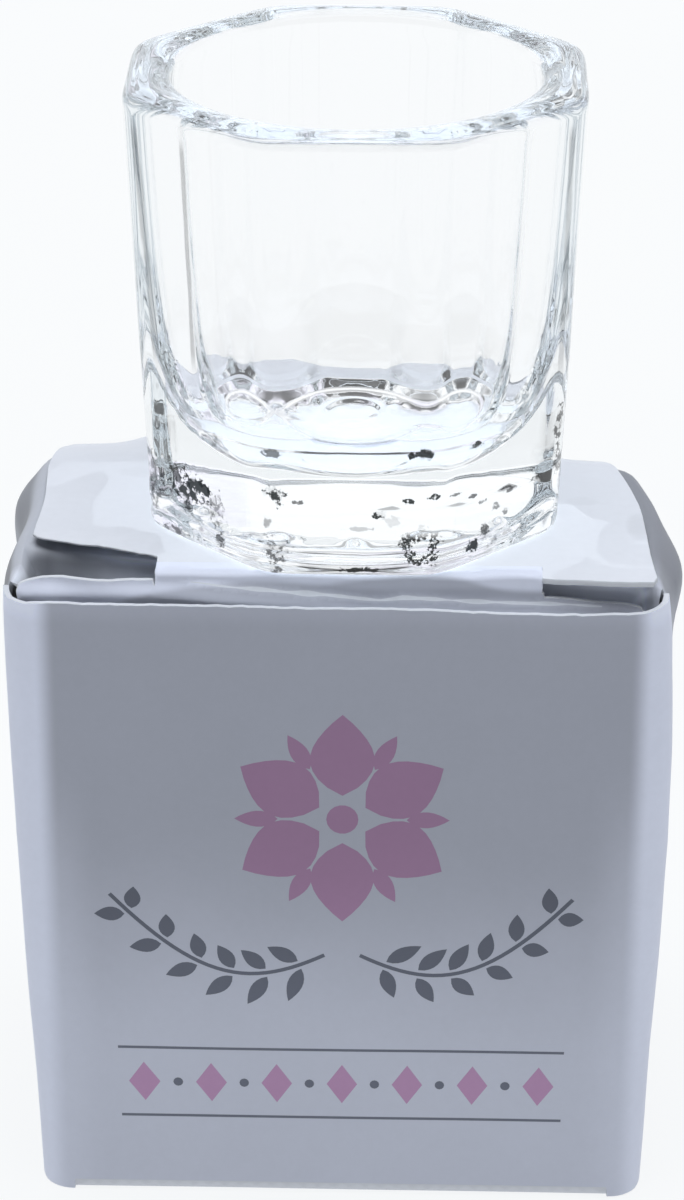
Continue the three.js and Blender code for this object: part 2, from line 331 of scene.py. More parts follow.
    # slight waviness of pressed glass, inside and out
    out = []
    a = math.radians(DISH["turn"])
    for x, y, z in verts:
        r = math.hypot(x, y)
        if z < 1.4 and r < 11.7 and CAVITY_FLOOR > 2:
            # the punt is rough from the mould, more so to the left, and has a few pits
            fade = min(1.0, (11.7 - r) / 1.2)
            z += fade * (0.04 + 0.14 * smoothstep(-3.0, -9.0, x)) * noise.noise(Vector((x * 0.40, y * 0.40, 3.0)))
            z += fade * 0.035 * smoothstep(-4.0, -8.0, x) * noise.noise(Vector((x * 1.5, y * 1.5, 6.0)))
            for px_, py_, pr, pd in PITS:
                z += fade * pd * math.exp(-((x - px_) ** 2 + (y - py_) ** 2) / pr ** 2)
            z = max(z, 0.0)
        if 0.3 < z < 14.0 and r > 12.9:
            # the lower ends of the eight edges are ragged where the mould closes
            ang = (math.degrees(math.atan2(y, x)) + 90.0 - 22.5) % 45.0
            edge = math.exp(-((min(ang, 45.0 - ang)) / 3.2) ** 2)
            k = edge * float(smoothstep(14.0, 5.0, z)) * 0.12
            if x < 0 and y < 0:
                k += 0.11 * float(smoothstep(-9.5, -12.5, x) * smoothstep(9.0, 6.0, z))     # chilled and torn skin at the left foot
            d = k * (noise.noise(Vector((x * 1.3, y * 1.3, z * 1.1))) + 0.5 * noise.noise(Vector((x * 3.0, y * 3.0, z * 2.4))))
            x, y = x * (1 + d / r), y * (1 + d / r)
        if r > 1.0 and (z > 1.5 or r > 12.5) and 0.8 < z < H - 0.8:
            amp = 0.035 if r < 13.2 else 0.02
            d = amp * noise.noise(Vector((x * 0.16 + (7 if r < 13.2 else 0), y * 0.16, z * 0.10)))
            patch = float(smoothstep(-0.05, 0.35, noise.noise(Vector((x * 0.22, y * 0.22, z * 0.22 + 11.0)))))
            if r < 12.5 and z < 17.0:
                d += 0.035 * patch * float(smoothstep(17.0, 12.0, z)) * noise.noise(Vector((x * 0.75, y * 0.75, z * 0.75)))
            elif r > 12.9 and z < 9.0:
                d += 0.022 * patch * float(smoothstep(9.0, 6.0, z)) * noise.noise(Vector((x * 0.9, y * 0.9, z * 0.9 + 4.0)))
            x, y = x * (1 + d / r), y * (1 + d / r)
        out.append((x * math.cos(a) - y * math.sin(a) + DISH["x"], x * math.sin(a) + y * math.cos(a) + DISH["y"], z + DISH["z"]))
    return out, faces


m_glass, T = material("clear_pressed_glass")
# painted dark refractions: dark ragged marks painted into the glass colour round the foot, standing in for dark views
# through the glass; place on the outside (mm from the foot's middle), half sizes, depth, 1 where the mark is broken up
# by noise
PAINTED_DARK_REFRACTIONS = [(5.03, -14.97, 9.50, 1.30, 0.9, 0.46, 1.0, 0), (8.57, -12.71, 9.33, 0.85, 0.8, 0.40, 1.0, 0), (-5.57, -14.87, 9.44, 0.8, 0.6, 0.34, 0.95, 0), (-9.51, -11.73, 8.98, 0.6, 0.6, 0.5, 0.8, 1),
          (-11.6, -9.3, 4.3, 2.4, 2.2, 1.7, 1.0, 1), (-10.9, -10.1, 4.8, 1.7, 1.6, 0.70, 1.0, 0), (-12.4, -8.5, 5.0, 0.9, 0.9, 0.8, 0.97, 0), (-11.6, -9.2, 2.9, 0.9, 0.9, 0.6, 0.95, 1),
          (-14.2, -6.4, 3.5, 0.7, 1.3, 2.6, 0.9, 1), (-12.6, -8.2, 0.6, 1.7, 1.5, 0.45, 0.97, 1), (-9.5, -11.4, 3.5, 1.0, 1.0, 1.4, 0.9, 1), (-9.25, -11.5, 1.4, 0.55, 0.6, 0.8, 0.98, 1),
          (-5.4, -14.8, 6.3, 0.8, 0.6, 1.0, 1.0, 1), (-5.8, -14.5, 4.1, 0.35, 0.6, 0.6, 0.8, 1), (-5.3, -14.5, 1.96, 1.0, 0.6, 1.25, 0.96, 1), (-5.27, -14.5, 0.45, 0.55, 0.6, 0.4, 0.95, 1),
          (-3.75, -14.85, 5.74, 0.75, 0.6, 0.20, 0.97, 1), (0.54, -14.77, 3.76, 1.2, 0.6, 0.20, 0.6, 0), (2.0, -14.8, 4.87, 0.55, 0.6, 0.34, 1.0, 1), (2.99, -14.8, 4.34, 0.7, 0.6, 0.45, 0.4, 0),
          (3.96, -14.87, 5.93, 0.4, 0.6, 0.3, 1.0, 1), (5.92, -14.6, 6.16, 0.5, 0.6, 0.28, 1.0, 1), (8.44, -12.3, 1.51, 0.7, 0.7, 0.6, 1.0, 0), (9.3, -11.5, 2.3, 0.5, 0.6, 0.7, 0.98, 1),
          (9.94, -10.8, 1.32, 0.6, 0.6, 0.5, 0.9, 1), (7.3, -13.7, 6.0, 0.6, 0.6, 0.15, 0.95, 0), (8.4, -12.6, 5.4, 0.55, 0.6, 0.19, 0.97, 0), (9.3, -11.7, 4.7, 0.45, 0.6, 0.25, 0.9, 1),
          (10.1, -10.8, 3.95, 0.4, 0.5, 0.3, 0.9, 1), (10.8, -10.1, 3.2, 0.35, 0.5, 0.34, 0.9, 1), (12.0, -8.8, 1.6, 0.4, 0.5, 0.7, 0.7, 0), (14.45, -6.4, 8.0, 0.5, 0.7, 2.4, 0.98, 1),
          (14.45, -6.1, 5.3, 0.5, 0.7, 1.1, 0.9, 1), (11.1, -9.84, 4.8, 0.7, 0.6, 0.2, 0.95, 1), (12.9, -8.07, 4.95, 0.7, 0.6, 0.2, 0.95, 1), (0.55, -14.62, 0.6, 1.4, 0.8, 0.26, 1.0, 0)]
PAINTED_DARK_RING = (4.93, -14.63, 2.40, 1.15, 1.2, 1.22)
# painted grey streaks down the upright edges, standing in for darker refraction: lower end, upper end, half width,
# depth
PAINTED_GREY_STREAKS = [((-13.75, -7.78, 13.0), (-15.1, -7.51, 30.9), 0.46, 0.60), ((-10.98, -10.6, 13.6), (-11.6, -11.13, 30.6), 0.24, 0.62), ((14.47, -6.77, 12.0), (14.88, -7.79, 30.9), 0.36, 0.55)]
co = T.add("ShaderNodeTexCoord").outputs["Object"]
gx, gy, gz = T.add("ShaderNodeSeparateXYZ", {"Vector": co}).outputs
rag = T.math("SUBTRACT", T.noise(co, 900.0, 3.0, 0.65), 0.5)
spiky = T.math("SUBTRACT", T.noise(co, 2600.0, 3.0, 0.7), 0.5)
wander = T.math("ADD", T.math("MULTIPLY", rag, 2.0), T.math("MULTIPLY", spiky, 2.6))
# noise that breaks the painted dark refraction marks into mottled patches
painted_dark_mottle = T.step(T.noise(co, 1700.0, 3.0, 0.7), 0.425, 0.500, 0.35, 1.0)
long_co = T.add("ShaderNodeCombineXYZ", {"X": gx, "Y": gy, "Z": T.math("MULTIPLY", gz, 0.10)}).outputs[0]
streak_wobble = T.math("SUBTRACT", T.noise(long_co, 1500.0, 3.0, 0.6), 0.5)


def ball(px_, py_, pz_, rx, ry, rz):
    """Distance from a place, 1 at its half sizes."""
    c = ((px_ + DISH["x"]) * MM, (py_ + DISH["y"]) * MM, (pz_ + DISH["z"]) * MM)
    v = T.add("ShaderNodeVectorMath", {0: co, 1: c}, operation="SUBTRACT").outputs[0]
    v = T.add("ShaderNodeVectorMath", {0: v, 1: (1.0 / (rx * MM), 1.0 / (ry * MM), 1.0 / (rz * MM))}, operation="MULTIPLY").outputs[0]
    return T.add("ShaderNodeVectorMath", {0: v}, operation="LENGTH").outputs["Value"]


painted_dark_refraction = None
# the last column, when 1, breaks the painted dark mark up with noise
for *place, depth, torn in PAINTED_DARK_REFRACTIONS:
    d = T.step(T.math("ADD", ball(*place), wander), 0.62, 0.86, depth, 0.0)
    if torn:
        d = T.math("MULTIPLY", d, painted_dark_mottle)
    painted_dark_refraction = d if painted_dark_refraction is None else T.math("MAXIMUM", painted_dark_refraction, d)
# a painted dark ragged ring with a clear middle, fainter at its top, standing in for a refracted starburst
d = T.math("ADD", ball(*PAINTED_DARK_RING), T.math("ADD", T.math("MULTIPLY", rag, 1.1), T.math("MULTIPLY", spiky, 2.2)))
d = T.step(T.math("ABSOLUTE", T.math("SUBTRACT", d, 0.88)), 0.16, 0.27, 1.0, 0.0)
painted_dark_refraction = T.math("MAXIMUM", painted_dark_refraction, T.math("MULTIPLY", d, T.step(gz, (PAINTED_DARK_RING[2] + DISH["z"] + 0.6) * MM, (PAINTED_DARK_RING[2] + DISH["z"] + 1.3) * MM, 1.0, 0.35)))
for (x0, y0, z0), (x1, y1, z1), half, depth in PAINTED_GREY_STREAKS:
    up = T.math("MULTIPLY", T.math("SUBTRACT", gz, (z0 + DISH["z"]) * MM), 1.0 / ((z1 - z0) * MM))
    ex = T.math("SUBTRACT", gx, T.math("MULTIPLY_ADD", up, (x1 - x0) * MM, (x0 + DISH["x"]) * MM))
    ey = T.math("SUBTRACT", gy, T.math("MULTIPLY_ADD", up, (y1 - y0) * MM, (y0 + DISH["y"]) * MM))
    d = T.math("MULTIPLY", T.math("SQRT", T.math("ADD", T.math("MULTIPLY", ex, ex), T.math("MULTIPLY", ey, ey))), 1.0 / (half * MM))
    d = T.step(T.math("ADD", d, T.math("MULTIPLY", streak_wobble, 1.6)), 0.55, 1.15, depth, 0.0)
    d = T.math("MULTIPLY", d, T.math("MULTIPLY", T.step(up, -0.03, 0.10), T.step(up, 0.94, 1.02, 1.0, 0.0)))
    painted_dark_refraction = T.math("MAXIMUM", painted_dark_refraction, d)
# the glass colour goes near-black inside the painted dark refraction marks
p = T.add("ShaderNodeBsdfPrincipled", {
    "Base Color": T.mix(painted_dark_refraction, (1, 1, 1, 1), (0.0005, 0.0008, 0.0008, 1)), "Roughness": 0.0, "IOR": 1.5, "Transmission Weight": 1.0})
va = T.add("ShaderNodeVolumeAbsorption", {"Color": (0.50, 0.66, 0.73, 1), "Density": 5.0})
# lamps reach the lid through the glass, as their light does through a real one
lamp = T.add("ShaderNodeLightPath").outputs["Is Shadow Ray"]
clear = T.add("ShaderNodeBsdfTransparent", {"Color": (0.96, 0.975, 0.97, 1)})
both = T.add("ShaderNodeMixShader")
T.t.links.new(lamp, both.inputs[0])
T.t.links.new(p.outputs[0], both.inputs[1])
T.t.links.new(clear.outputs[0], both.inputs[2])
T.add("ShaderNodeOutputMaterial", {"Surface": both.outputs[0], "Volume": va.outputs[0]})

verts, faces = build_dish()
dish = mesh_object("pressed_glass_dish", verts, faces, [m_glass])
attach(dish, "dish")
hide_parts("glass_dish")

# ------------------------------------------------------------------ carton: shape
BOARD, HW, HD, TOP = 0.4, 23.0, 16.6, 49.9     # board thickness, half width, half depth, height
CORNER = 2.4                                   # outside radius of the upright creases
FOLD_BACK = 3.0                                # the closures' hinge folds are soft
S_FRONT = TOP - 1.75                           # raw top edge of the front panel


# local pushes on the board: centre, reach, shift
DENTS = [(21.5, 9.0, 48.8, 7.0, -1.35, 0.0, -0.35), (19.5, 16.0, 47.5, 5.5, -1.0, 0.0, -0.75), (23.5, 14.0, 46.0, 5.5, -1.2, 0.0, -0.1),
         (-24.0, 10.0, 47.0, 4.5, 0.5, 0.0, 0.0), (-23.5, -9.0, 47.0, 4.0, -0.4, 0.0, 0.0)]
# how far the upright corners stand out, by height
SWELL_LEFT = ([0, 5, 9, 15, 22, 29, 35, 42, 48.4], [-0.20, -0.25, -0.30, -0.43, -0.48, -0.60, -0.57, -0.48, -0.38])
SWELL_RIGHT = ([0, 5, 12, 19, 26, 29, 36, 42, 45, 48.4], [0.0, 0.12, 0.17, 0.32, 0.40, 0.46, 0.28, -0.02, -0.14, -0.40])


def warp(P):
    """The handled look of a small carton: it is a little wider at the top than at the foot, its sides bow out
    under the lid and lean in to the crest, and its back corners are pressed down and in."""
    P = np.array(P, float).reshape(-1, 3)
    x, y, z = P[:, 0].copy(), P[:, 1].copy(), P[:, 2].copy()
    t = z / 48.0
    left = x < 0
    scale = np.where(left, -0.0326 + 0.0560 * t, -0.0326 + 0.0420 * t)
    nx = x * (1 + scale)
    w = smoothstep(17.0, 22.6, np.abs(x)) * np.sign(x)
    up = smoothstep(38.0, 46.3, z) * smoothstep(49.9, 46.6, z)
    low = smoothstep(8.0, 38.0, z) * smoothstep(50.0, 40.0, z)
    amp_l = 1.45 * np.exp(-((y - 4.5) / 6.0) ** 2) + 0.25 * np.exp(-((y + 8) / 5.0) ** 2)
    up_r = smoothstep(42.0, 46.5, z) * smoothstep(49.9, 46.6, z)
    amp_r = 1.20 * np.exp(-((y + 6.0) / 5.0) ** 2)
    low_r = 0.25 * np.exp(-((y + 9.5) / 6.5) ** 2)
    nx += w * (np.where(left, amp_l * up, amp_r * up_r) + np.where(left, 0.35 * amp_l, low_r) * low)
    nx -= (0.25 * smoothstep(19.0, 22.4, x) * smoothstep(-4.0, 4.0, y) + 0.85 * smoothstep(16.5, 22.4, x) * smoothstep(5.0, 11.0, y)) * smoothstep(36.0, 46.0, z)
    # soft dents and swells of thin board
    side = smoothstep(20.5, 22.4, np.abs(x))
    nx += side * np.sign(x) * 0.16 * np.array([noise.noise(Vector((3.1, b * 0.09, c * 0.07))) for b, c in zip(y, z)])
    face = smoothstep(14.6, 16.2, np.abs(y))
    ny = y + face * np.sign(y) * (0.10 * np.array([noise.noise(Vector((a * 0.06, 9.0, c * 0.06))) for a, c in zip(x, z)])
                                  + 0.12 * np.cos(np.pi * x / 46.0) * np.sin(np.pi * np.clip(z / 49.0, 0, 1)))
    # back corners pressed down and in
    far = smoothstep(5.5, 16.6, y)
    out = np.where(left, smoothstep(9.5, 18.5, -x), smoothstep(9.0, 18.0, x))
    press = far * out * smoothstep(30.0, 49.9, z)
    nz = z - press * np.where(left, 2.3, 3.1) - 0.35 * far * smoothstep(12.0, 16.6, y) * smoothstep(30.0, 49.9, z)
    cornerish = far * smoothstep(12.0, 22.5, np.abs(x)) * smoothstep(34.0, 49.9, z)
    nx -= np.sign(x) * cornerish * np.where(left, 0.5, 1.5)
    ny -= cornerish * 0.9
    for cx, cy, cz, r, dx_, dy_, dz_ in DENTS:
        g = np.exp(-(((x - cx) ** 2 + (y - cy) ** 2 + (z - cz) ** 2) / r ** 2))
        nx, ny, nz = nx + g * dx_, ny + g * dy_, nz + g * dz_
    nx = nx + smoothstep(1.0, -12.0, y) * (np.interp(z, *SWELL_LEFT) * smoothstep(-8.0, -22.0, x) + np.interp(z, *SWELL_RIGHT) * smoothstep(8.0, 22.0, x))
    return np.stack([nx, ny, nz], 1)


class Track:
    """A path of straight runs and arcs in a plane, measured along its length. 'turn' is in degrees, left positive."""

    def __init__(self, p, q, heading, parts, outward):
        self.segs, s = [], 0.0
        h = math.radians(heading)
        for kind, a, b in [(x[0], x[1], x[2] if len(x) > 2 else 0) for x in parts]:
            if kind == "L":
                self.segs.append((s, s + a, "L", p, q, h, 0, 0))
                p, q = p + a * math.cos(h), q + a * math.sin(h)
                s += a
            else:
                turn = math.radians(b)
                sign = 1 if turn > 0 else -1
                length = abs(turn) * a
                self.segs.append((s, s + length, "A", p, q, h, a, sign))
                cx, cy = p - sign * a * math.sin(h), q + sign * a * math.cos(h)
                h2 = h + turn
                p, q = cx + sign * a * math.sin(h2), cy - sign * a * math.cos(h2)
                h = h2
                s += length
        self.length, self.outward = s, outward

    def knots(self, straight, curved):
        out = [0.0]
        for s0, s1, kind, *_ in self.segs:
            n = max(1, int(round((s1 - s0) / (straight if kind == "L" else curved))))
            out += list(s0 + (s1 - s0) * (np.arange(n) + 1) / n)
        return out

    def at(self, s):
        s = np.atleast_1d(np.asarray(s, float))
        P, N = np.zeros((len(s), 2)), np.zeros((len(s), 2))
        for k, (s0, s1, kind, p, q, h, r, sign) in enumerate(self.segs):
            m = (s >= s0 if k else s > -1e9) & (s < s1 if k < len(self.segs) - 1 else s < 1e9)
            d = s[m] - s0
            if kind == "L":
                P[m] = np.stack([p + d * math.cos(h), q + d * math.sin(h)], 1)
                hh = np.full(len(d), h)
            else:
                cx, cy = p - sign * r * math.sin(h), q + sign * r * math.cos(h)
                hh = h + sign * d / r
                P[m] = np.stack([cx + sign * r * np.sin(hh), cy - sign * r * np.cos(hh)], 1)
            N[m] = self.outward * np.stack([-np.sin(hh), np.cos(hh)], 1)
        return P, N


def dense(points, step):
    """A closed outline with no stretch longer than step."""
    out = []
    for (a, b), (c, d) in zip(points, points[1:] + points[:1]):
        n = max(1, int(math.ceil(math.hypot(c - a, d - b) / step)))
        out += [(a + (c - a) * i / n, b + (d - b) * i / n) for i in range(n)]
    return out


def rounded(points, radii, n=5):
    """An outline with its corners rounded; radii has one number for each point."""
    out = []
    k = len(points)
    for i, r in enumerate(radii):
        p0, p1, p2 = (np.array(points[(i + d) % k], float) for d in (-1, 0, 1))
        if r <= 0:
            out.append(tuple(p1))
            continue
        a, b = (p0 - p1) / np.linalg.norm(p0 - p1), (p2 - p1) / np.linalg.norm(p2 - p1)
        r = min(r, 0.48 * np.linalg.norm(p0 - p1), 0.48 * np.linalg.norm(p2 - p1))
        for t in np.linspace(0, 1, n):
            out.append(tuple((1 - t) ** 2 * (p1 + a * r) + 2 * t * (1 - t) * p1 + t * t * (p1 + b * r)))
    return out


def inside(poly, pts):
    """Which points lie in a polygon."""
    poly, pts = np.asarray(poly, float), np.asarray(pts, float)
    x, y = pts[:, 0], pts[:, 1]
    hit = np.zeros(len(pts), bool)
    for (x0, y0), (x1, y1) in zip(poly, np.roll(poly, -1, 0)):
        cross = ((y0 > y) != (y1 > y))
        with np.errstate(divide="ignore", invalid="ignore"):
            xi = (x1 - x0) * (y - y0) / (y1 - y0) + x0
        hit ^= cross & (x < xi)
    return hit


def near_edge(poly, pts, gap):
    poly, pts = np.asarray(poly, float), np.asarray(pts, float)
    best = np.full(len(pts), 1e9)
    for a, b in zip(poly, np.roll(poly, -1, 0)):
        d = b - a
        L = float(d @ d)
        if L < 1e-12:
            continue
        t = np.clip((pts - a) @ d / L, 0, 1)
        best = np.minimum(best, np.linalg.norm(pts - (a + t[:, None] * d), axis=1))
    return best < gap


def sheet(name, track, plane, outline, step, knots, seam=None, inks=(), shape=None, ragged=0.02, mats=None, seed=0.0, thick=None):
    """A piece of board with a closed outline in (length along the track, distance across), its outer face on the track.
    plane says how the track and the distance across lie in space. shape(s, a, P, N) may move the outer face."""
    loop = dense(outline, step)
    L = np.array(loop, float)
    # the cut edge wanders a little
    nxt, prv = np.roll(L, -1, 0), np.roll(L, 1, 0)
    tang = nxt - prv
    tang /= np.maximum(np.linalg.norm(tang, axis=1, keepdims=True), 1e-9)
    normal = np.stack([tang[:, 1], -tang[:, 0]], 1)
    r = np.array([ragged(a, b) if callable(ragged) else ragged for a, b in L])
    wob = np.array([noise.noise(Vector((a * 1.1 + seed, b * 1.1, 2.0))) + 0.6 * noise.noise(Vector((a * 3.3 + seed, b * 3.3, 5.0))) for a, b in L])
    is_seam = np.array([bool(seam and seam(a, b)) for a, b in L])
    L = L + normal * (r * wob * ~is_seam)[:, None]
    # inner points
    ss, aa = knots
    grid = []
    for j, a in enumerate(aa):
        grid += [(s, a) for s in ss]
    grid = np.array(grid, float)
    keep = inside(L, grid) & ~near_edge(L, grid, 0.42 * step)
    polys = [np.array(p, float) for _, p in inks]
    for p in polys:
        keep &= ~near_edge(p, grid, 0.16)
    grid = grid[keep]
    pts = [Vector(p) for p in L] + [Vector(p) for p in grid]
    edges = [(i, (i + 1) % len(L)) for i in range(len(L))]
    base = len(pts)
    for p in polys:
        pts += [Vector(q) for q in p]
        edges += [(base + i, base + (i + 1) % len(p)) for i in range(len(p))]
        base += len(p)
    vc, _, fc, *_ = geometry.delaunay_2d_cdt(pts, edges, [], 0, 1e-5)
    V = np.array([tuple(v) for v in vc], float)
    F = np.array([f for f in fc if len(f) == 3], int)
    cen = V[F].mean(1)
    F = F[inside(L, cen)]
    cen = V[F].mean(1)
    # all triangles turn the same way
    a, b, c = V[F[:, 0]], V[F[:, 1]], V[F[:, 2]]
    area = (b[:, 0] - a[:, 0]) * (c[:, 1] - a[:, 1]) - (b[:, 1] - a[:, 1]) * (c[:, 0] - a[:, 0])
    F = F[np.abs(area) > 1e-7]
    area = area[np.abs(area) > 1e-7]
    F[area < 0] = F[area < 0][:, ::-1]
    cen = V[F].mean(1)
    mat = np.zeros(len(F), int)
    for (slot, _), p in zip(inks, polys):
        mat[inside(p, cen)] = slot
    used = np.unique(F)
    remap = -np.ones(len(V), int)
    remap[used] = np.arange(len(used))
    V, F = V[used], remap[F]

    def place(uv):
        q, nq = track.at(uv[:, 0])
        a = uv[:, 1]
        zero = np.zeros(len(a))
        if plane == "xy":
            P, N = np.stack([q[:, 0], q[:, 1], a], 1), np.stack([nq[:, 0], nq[:, 1], zero], 1)
        elif plane == "yz":
            P, N = np.stack([a, q[:, 0], q[:, 1]], 1), np.stack([zero, nq[:, 0], nq[:, 1]], 1)
        else:
            P, N = np.stack([q[:, 0], a, q[:, 1]], 1), np.stack([nq[:, 0], zero, nq[:, 1]], 1)
        return shape(uv[:, 0], a, P, N) if shape else (P, N)

    P, N = place(V)
    # boundary edges, in order
    count = {}
    for f in F:
        for i in range(3):
            e = (int(f[i]), int(f[(i + 1) % 3]))
            count[e] = count.get(e, 0) + 1
    border = {e[0]: e[1] for e in count if (e[1], e[0]) not in count}
    bverts = sorted(border)
    prev = {v: k for k, v in border.items()}
    back_to = {v: i for i, v in enumerate(bverts)}
    out2 = np.array([[(V[border[v]] - V[prev[v]])[1], -(V[border[v]] - V[prev[v]])[0]] for v in bverts])
    out2 /= np.maximum(np.linalg.norm(out2, axis=1, keepdims=True), 1e-9)
    Vb = V[bverts]
    P2, _ = place(Vb + out2 * 0.02)
    E = (P2 - P[bverts]) / 0.02
    E /= np.maximum(np.linalg.norm(E, axis=1, keepdims=True), 1e-9)
    seam_b = np.array([bool(seam and seam(*v)) for v in Vb])
    T_ = np.array([thick(*v) if thick else BOARD for v in V])
    rings = []
    for k, (depth, bulge) in enumerate(((0.14, 0.035), (0.5, 0.05), (0.86, 0.03))):
        rag = np.array([0.5 + 0.5 * noise.noise(Vector((v[0] * 4 + seed + k * 7, v[1] * 4, 1.0))) for v in Vb])
        b = np.where(seam_b, 0.0, bulge * (0.3 + 1.1 * rag))
        rings.append(P[bverts] - N[bverts] * (T_[bverts] * depth)[:, None] + E * b[:, None])
    nv, nb = len(V), len(bverts)
    inner = P - N * T_[:, None]
    verts = np.concatenate([P, inner] + rings)
    outward = np.cross(P[F[:, 1]] - P[F[:, 0]], P[F[:, 2]] - P[F[:, 0]])
    flip = float((outward * N[F[:, 0]]).sum()) < 0
    faces, fm = [], []
    for f, m_ in zip(F, mat):
        o = (f[0], f[2], f[1]) if flip else tuple(f)
        faces.append(o)
        fm.append(m_)
        faces.append((o[0] + nv, o[2] + nv, o[1] + nv))
        fm.append(2)
    sharp = []
    for v in bverts:
        w = border[v]
        i, j = back_to[v], back_to[w]
        sharp += [(v, w), (v + nv, w + nv)]
        ladder_a = [v] + [2 * nv + k * nb + i for k in range(3)] + [v + nv]
        ladder_b = [w] + [2 * nv + k * nb + j for k in range(3)] + [w + nv]
        for k in range(4):
            q = (ladder_b[k], ladder_a[k], ladder_a[k + 1], ladder_b[k + 1])
            faces.append(q[::-1] if flip else q)
            fm.append(1)
    return mesh_object(name, warp(verts), faces, mats, fm, sharp)


def carry(ob, nodes, body=None, blend=None):
    if blend:
        a, b, start, end = blend
        ws, we = (warp([p])[0] * MM for p in (start, end))
        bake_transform(ob)
    else:
        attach(ob, body)
    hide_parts(*nodes)
    return ob


# ------------------------------------------------------------------ carton: board and inks
def board_material(name, tint, rough=0.55, mottle=1.0, ramp=None, darker_patches=(), corners=0.0, riser=None, top=None, tucked=None, lean=None):
    """Coated board: fine calendered grain, soft clouding and darker patches. ramp = (z low, z high, share at low, share
    at high), a painted shade.
    corners is the share of a painted highlight on the upright corners; riser and top are further shares over heights
    (on the dust flaps a painted shade and a painted highlight); tucked is painted fill light and lean painted shade."""
    m, T = material(name)
    co = T.add("ShaderNodeTexCoord").outputs["Object"]
    cloud = T.noise(co, 95.0, 3.0, 0.55)
    fibre = T.noise(co, 1500.0, 2.0, 0.6)
    fleck = T.noise(co, 620.0, 2.0, 0.5)
    v = T.math("MULTIPLY", T.math("SUBTRACT", cloud, 0.5), 0.075 * mottle)
    v = T.math("ADD", v, T.math("MULTIPLY", T.math("SUBTRACT", fibre, 0.5), 0.05 * mottle))
    v = T.math("ADD", v, T.math("MULTIPLY", T.math("SUBTRACT", fleck, 0.5), 0.03 * mottle))
    share = T.math("ADD", v, 1.0)
    pos = T.add("ShaderNodeSeparateXYZ", {"Vector": co}).outputs
    if ramp:
        z0, z1, a, b = ramp
        wav = T.math("ADD", pos[2], T.math("MULTIPLY", T.math("SUBTRACT", T.noise(co, 40.0, 2.0), 0.5), 0.010))
        base = T.step(wav, z0, z1, a, b)
        # painted highlight: towards the rounded upright corners of the front the share rises to corners
        if corners:
            ax, ay = T.math("ABSOLUTE", pos[0]), T.math("MULTIPLY", pos[1], -1.0)
            narrow = T.math("MULTIPLY", T.step(ax, 0.0202, 0.0218), T.step(ay, 0.0125, 0.0146))
            wide = T.math("MULTIPLY", T.math("MULTIPLY", T.step(ax, 0.0172, 0.0212), T.step(ay, 0.0136, 0.0155)), T.step(pos[2], 0.0255, 0.0370, 0.30, 0.0))
            corner_highlight = T.math("ADD", narrow, T.math("MULTIPLY", wide, T.math("SUBTRACT", 1.0, narrow)))
            base = T.math("ADD", base, T.math("MULTIPLY", corner_highlight, T.math("SUBTRACT", corners, base)))
        share = T.math("MULTIPLY", share, base)
    # painted shade (riser) and painted highlight (top) bands over heights
    for band in (riser, top):
        if band:
            share = T.math("MULTIPLY", share, T.step(pos[2], *band))
    # painted shade: darker over a height band, behind the front
    if lean:
        z0, z1, k = lean
        share = T.math("MULTIPLY", share, T.math("SUBTRACT", 1.0, T.math("MULTIPLY", T.math("MULTIPLY", T.step(pos[2], z0, z1), T.step(pos[1], -0.0130, -0.0090)), 1.0 - k)))
    # painted fill light: the share is raised inward of a width band in the front margin, where the board lies in shade
    for band in tucked or ():
        extra = T.math("SUBTRACT", T.step(T.math("ABSOLUTE", pos[0]), *band), 1.0)
        share = T.math("MULTIPLY", share, T.math("ADD", T.math("MULTIPLY", extra, T.step(pos[1], -0.0050, 0.0, 1.0, 0.0)), 1.0))
    for (sx, sy, rx, ry, depth) in darker_patches:
        ex = T.math("DIVIDE", T.math("SUBTRACT", pos[0], sx * MM), rx * MM)
        ey = T.math("DIVIDE", T.math("SUBTRACT", pos[1], sy * MM), ry * MM)
        d = T.math("ADD", T.math("MULTIPLY", ex, ex), T.math("MULTIPLY", ey, ey))
        d = T.math("ADD", d, T.math("MULTIPLY", T.math("SUBTRACT", T.noise(co, 700.0, 2.0), 0.5), 1.2))
        share = T.math("MULTIPLY", share, T.step(d, 0.2, 1.3, 1.0 - depth, 1.0))
    grey = T.add("ShaderNodeCombineXYZ", {"X": share, "Y": share, "Z": share}).outputs[0]
    col = T.add("ShaderNodeVectorMath", {0: grey, 1: tint}, operation="MULTIPLY").outputs[0]
    r = T.math("ADD", T.math("MULTIPLY", T.math("SUBTRACT", cloud, 0.5), 0.10), rough)
    bump = T.add("ShaderNodeBump", {"Height": T.math("ADD", T.math("MULTIPLY", fibre, 0.5), T.math("MULTIPLY", fleck, 0.5)), "Strength": 0.10, "Distance": 0.00005})
    p = T.add("ShaderNodeBsdfPrincipled", {"Base Color": col, "Roughness": r, "Specular IOR Level": 0.35, "Normal": bump.outputs[0]})
    T.add("ShaderNodeOutputMaterial", {"Surface": p.outputs[0]})
    return m


# painted shade colour: the walls and tuck flap take a bluer tint than the lid, though they are the same board
WALL_SHADE_TINT = (0.650, 0.694, 0.828)
LID = (0.625, 0.655, 0.722)
# painted shade: walls and their print darken towards the top, share 0.87 below 11 mm to 0.598 above 30 mm
WALL_SHADE_RAMP = (0.011, 0.030, 0.87, 0.598)
# corners=1.16 is a painted highlight on the upright corners of the front
WALLS = dict(ramp=WALL_SHADE_RAMP, corners=1.16)
m_lid = board_material("coated_board_lid", LID, darker_patches=((20.9, -6.0, 0.9, 2.6, 0.10), (17.0, -1.5, 1.3, 0.9, 0.05), (-15.5, 3.0, 1.6, 1.1, 0.04), (-18.5, 0.0, 8.0, 15.0, 0.045)))
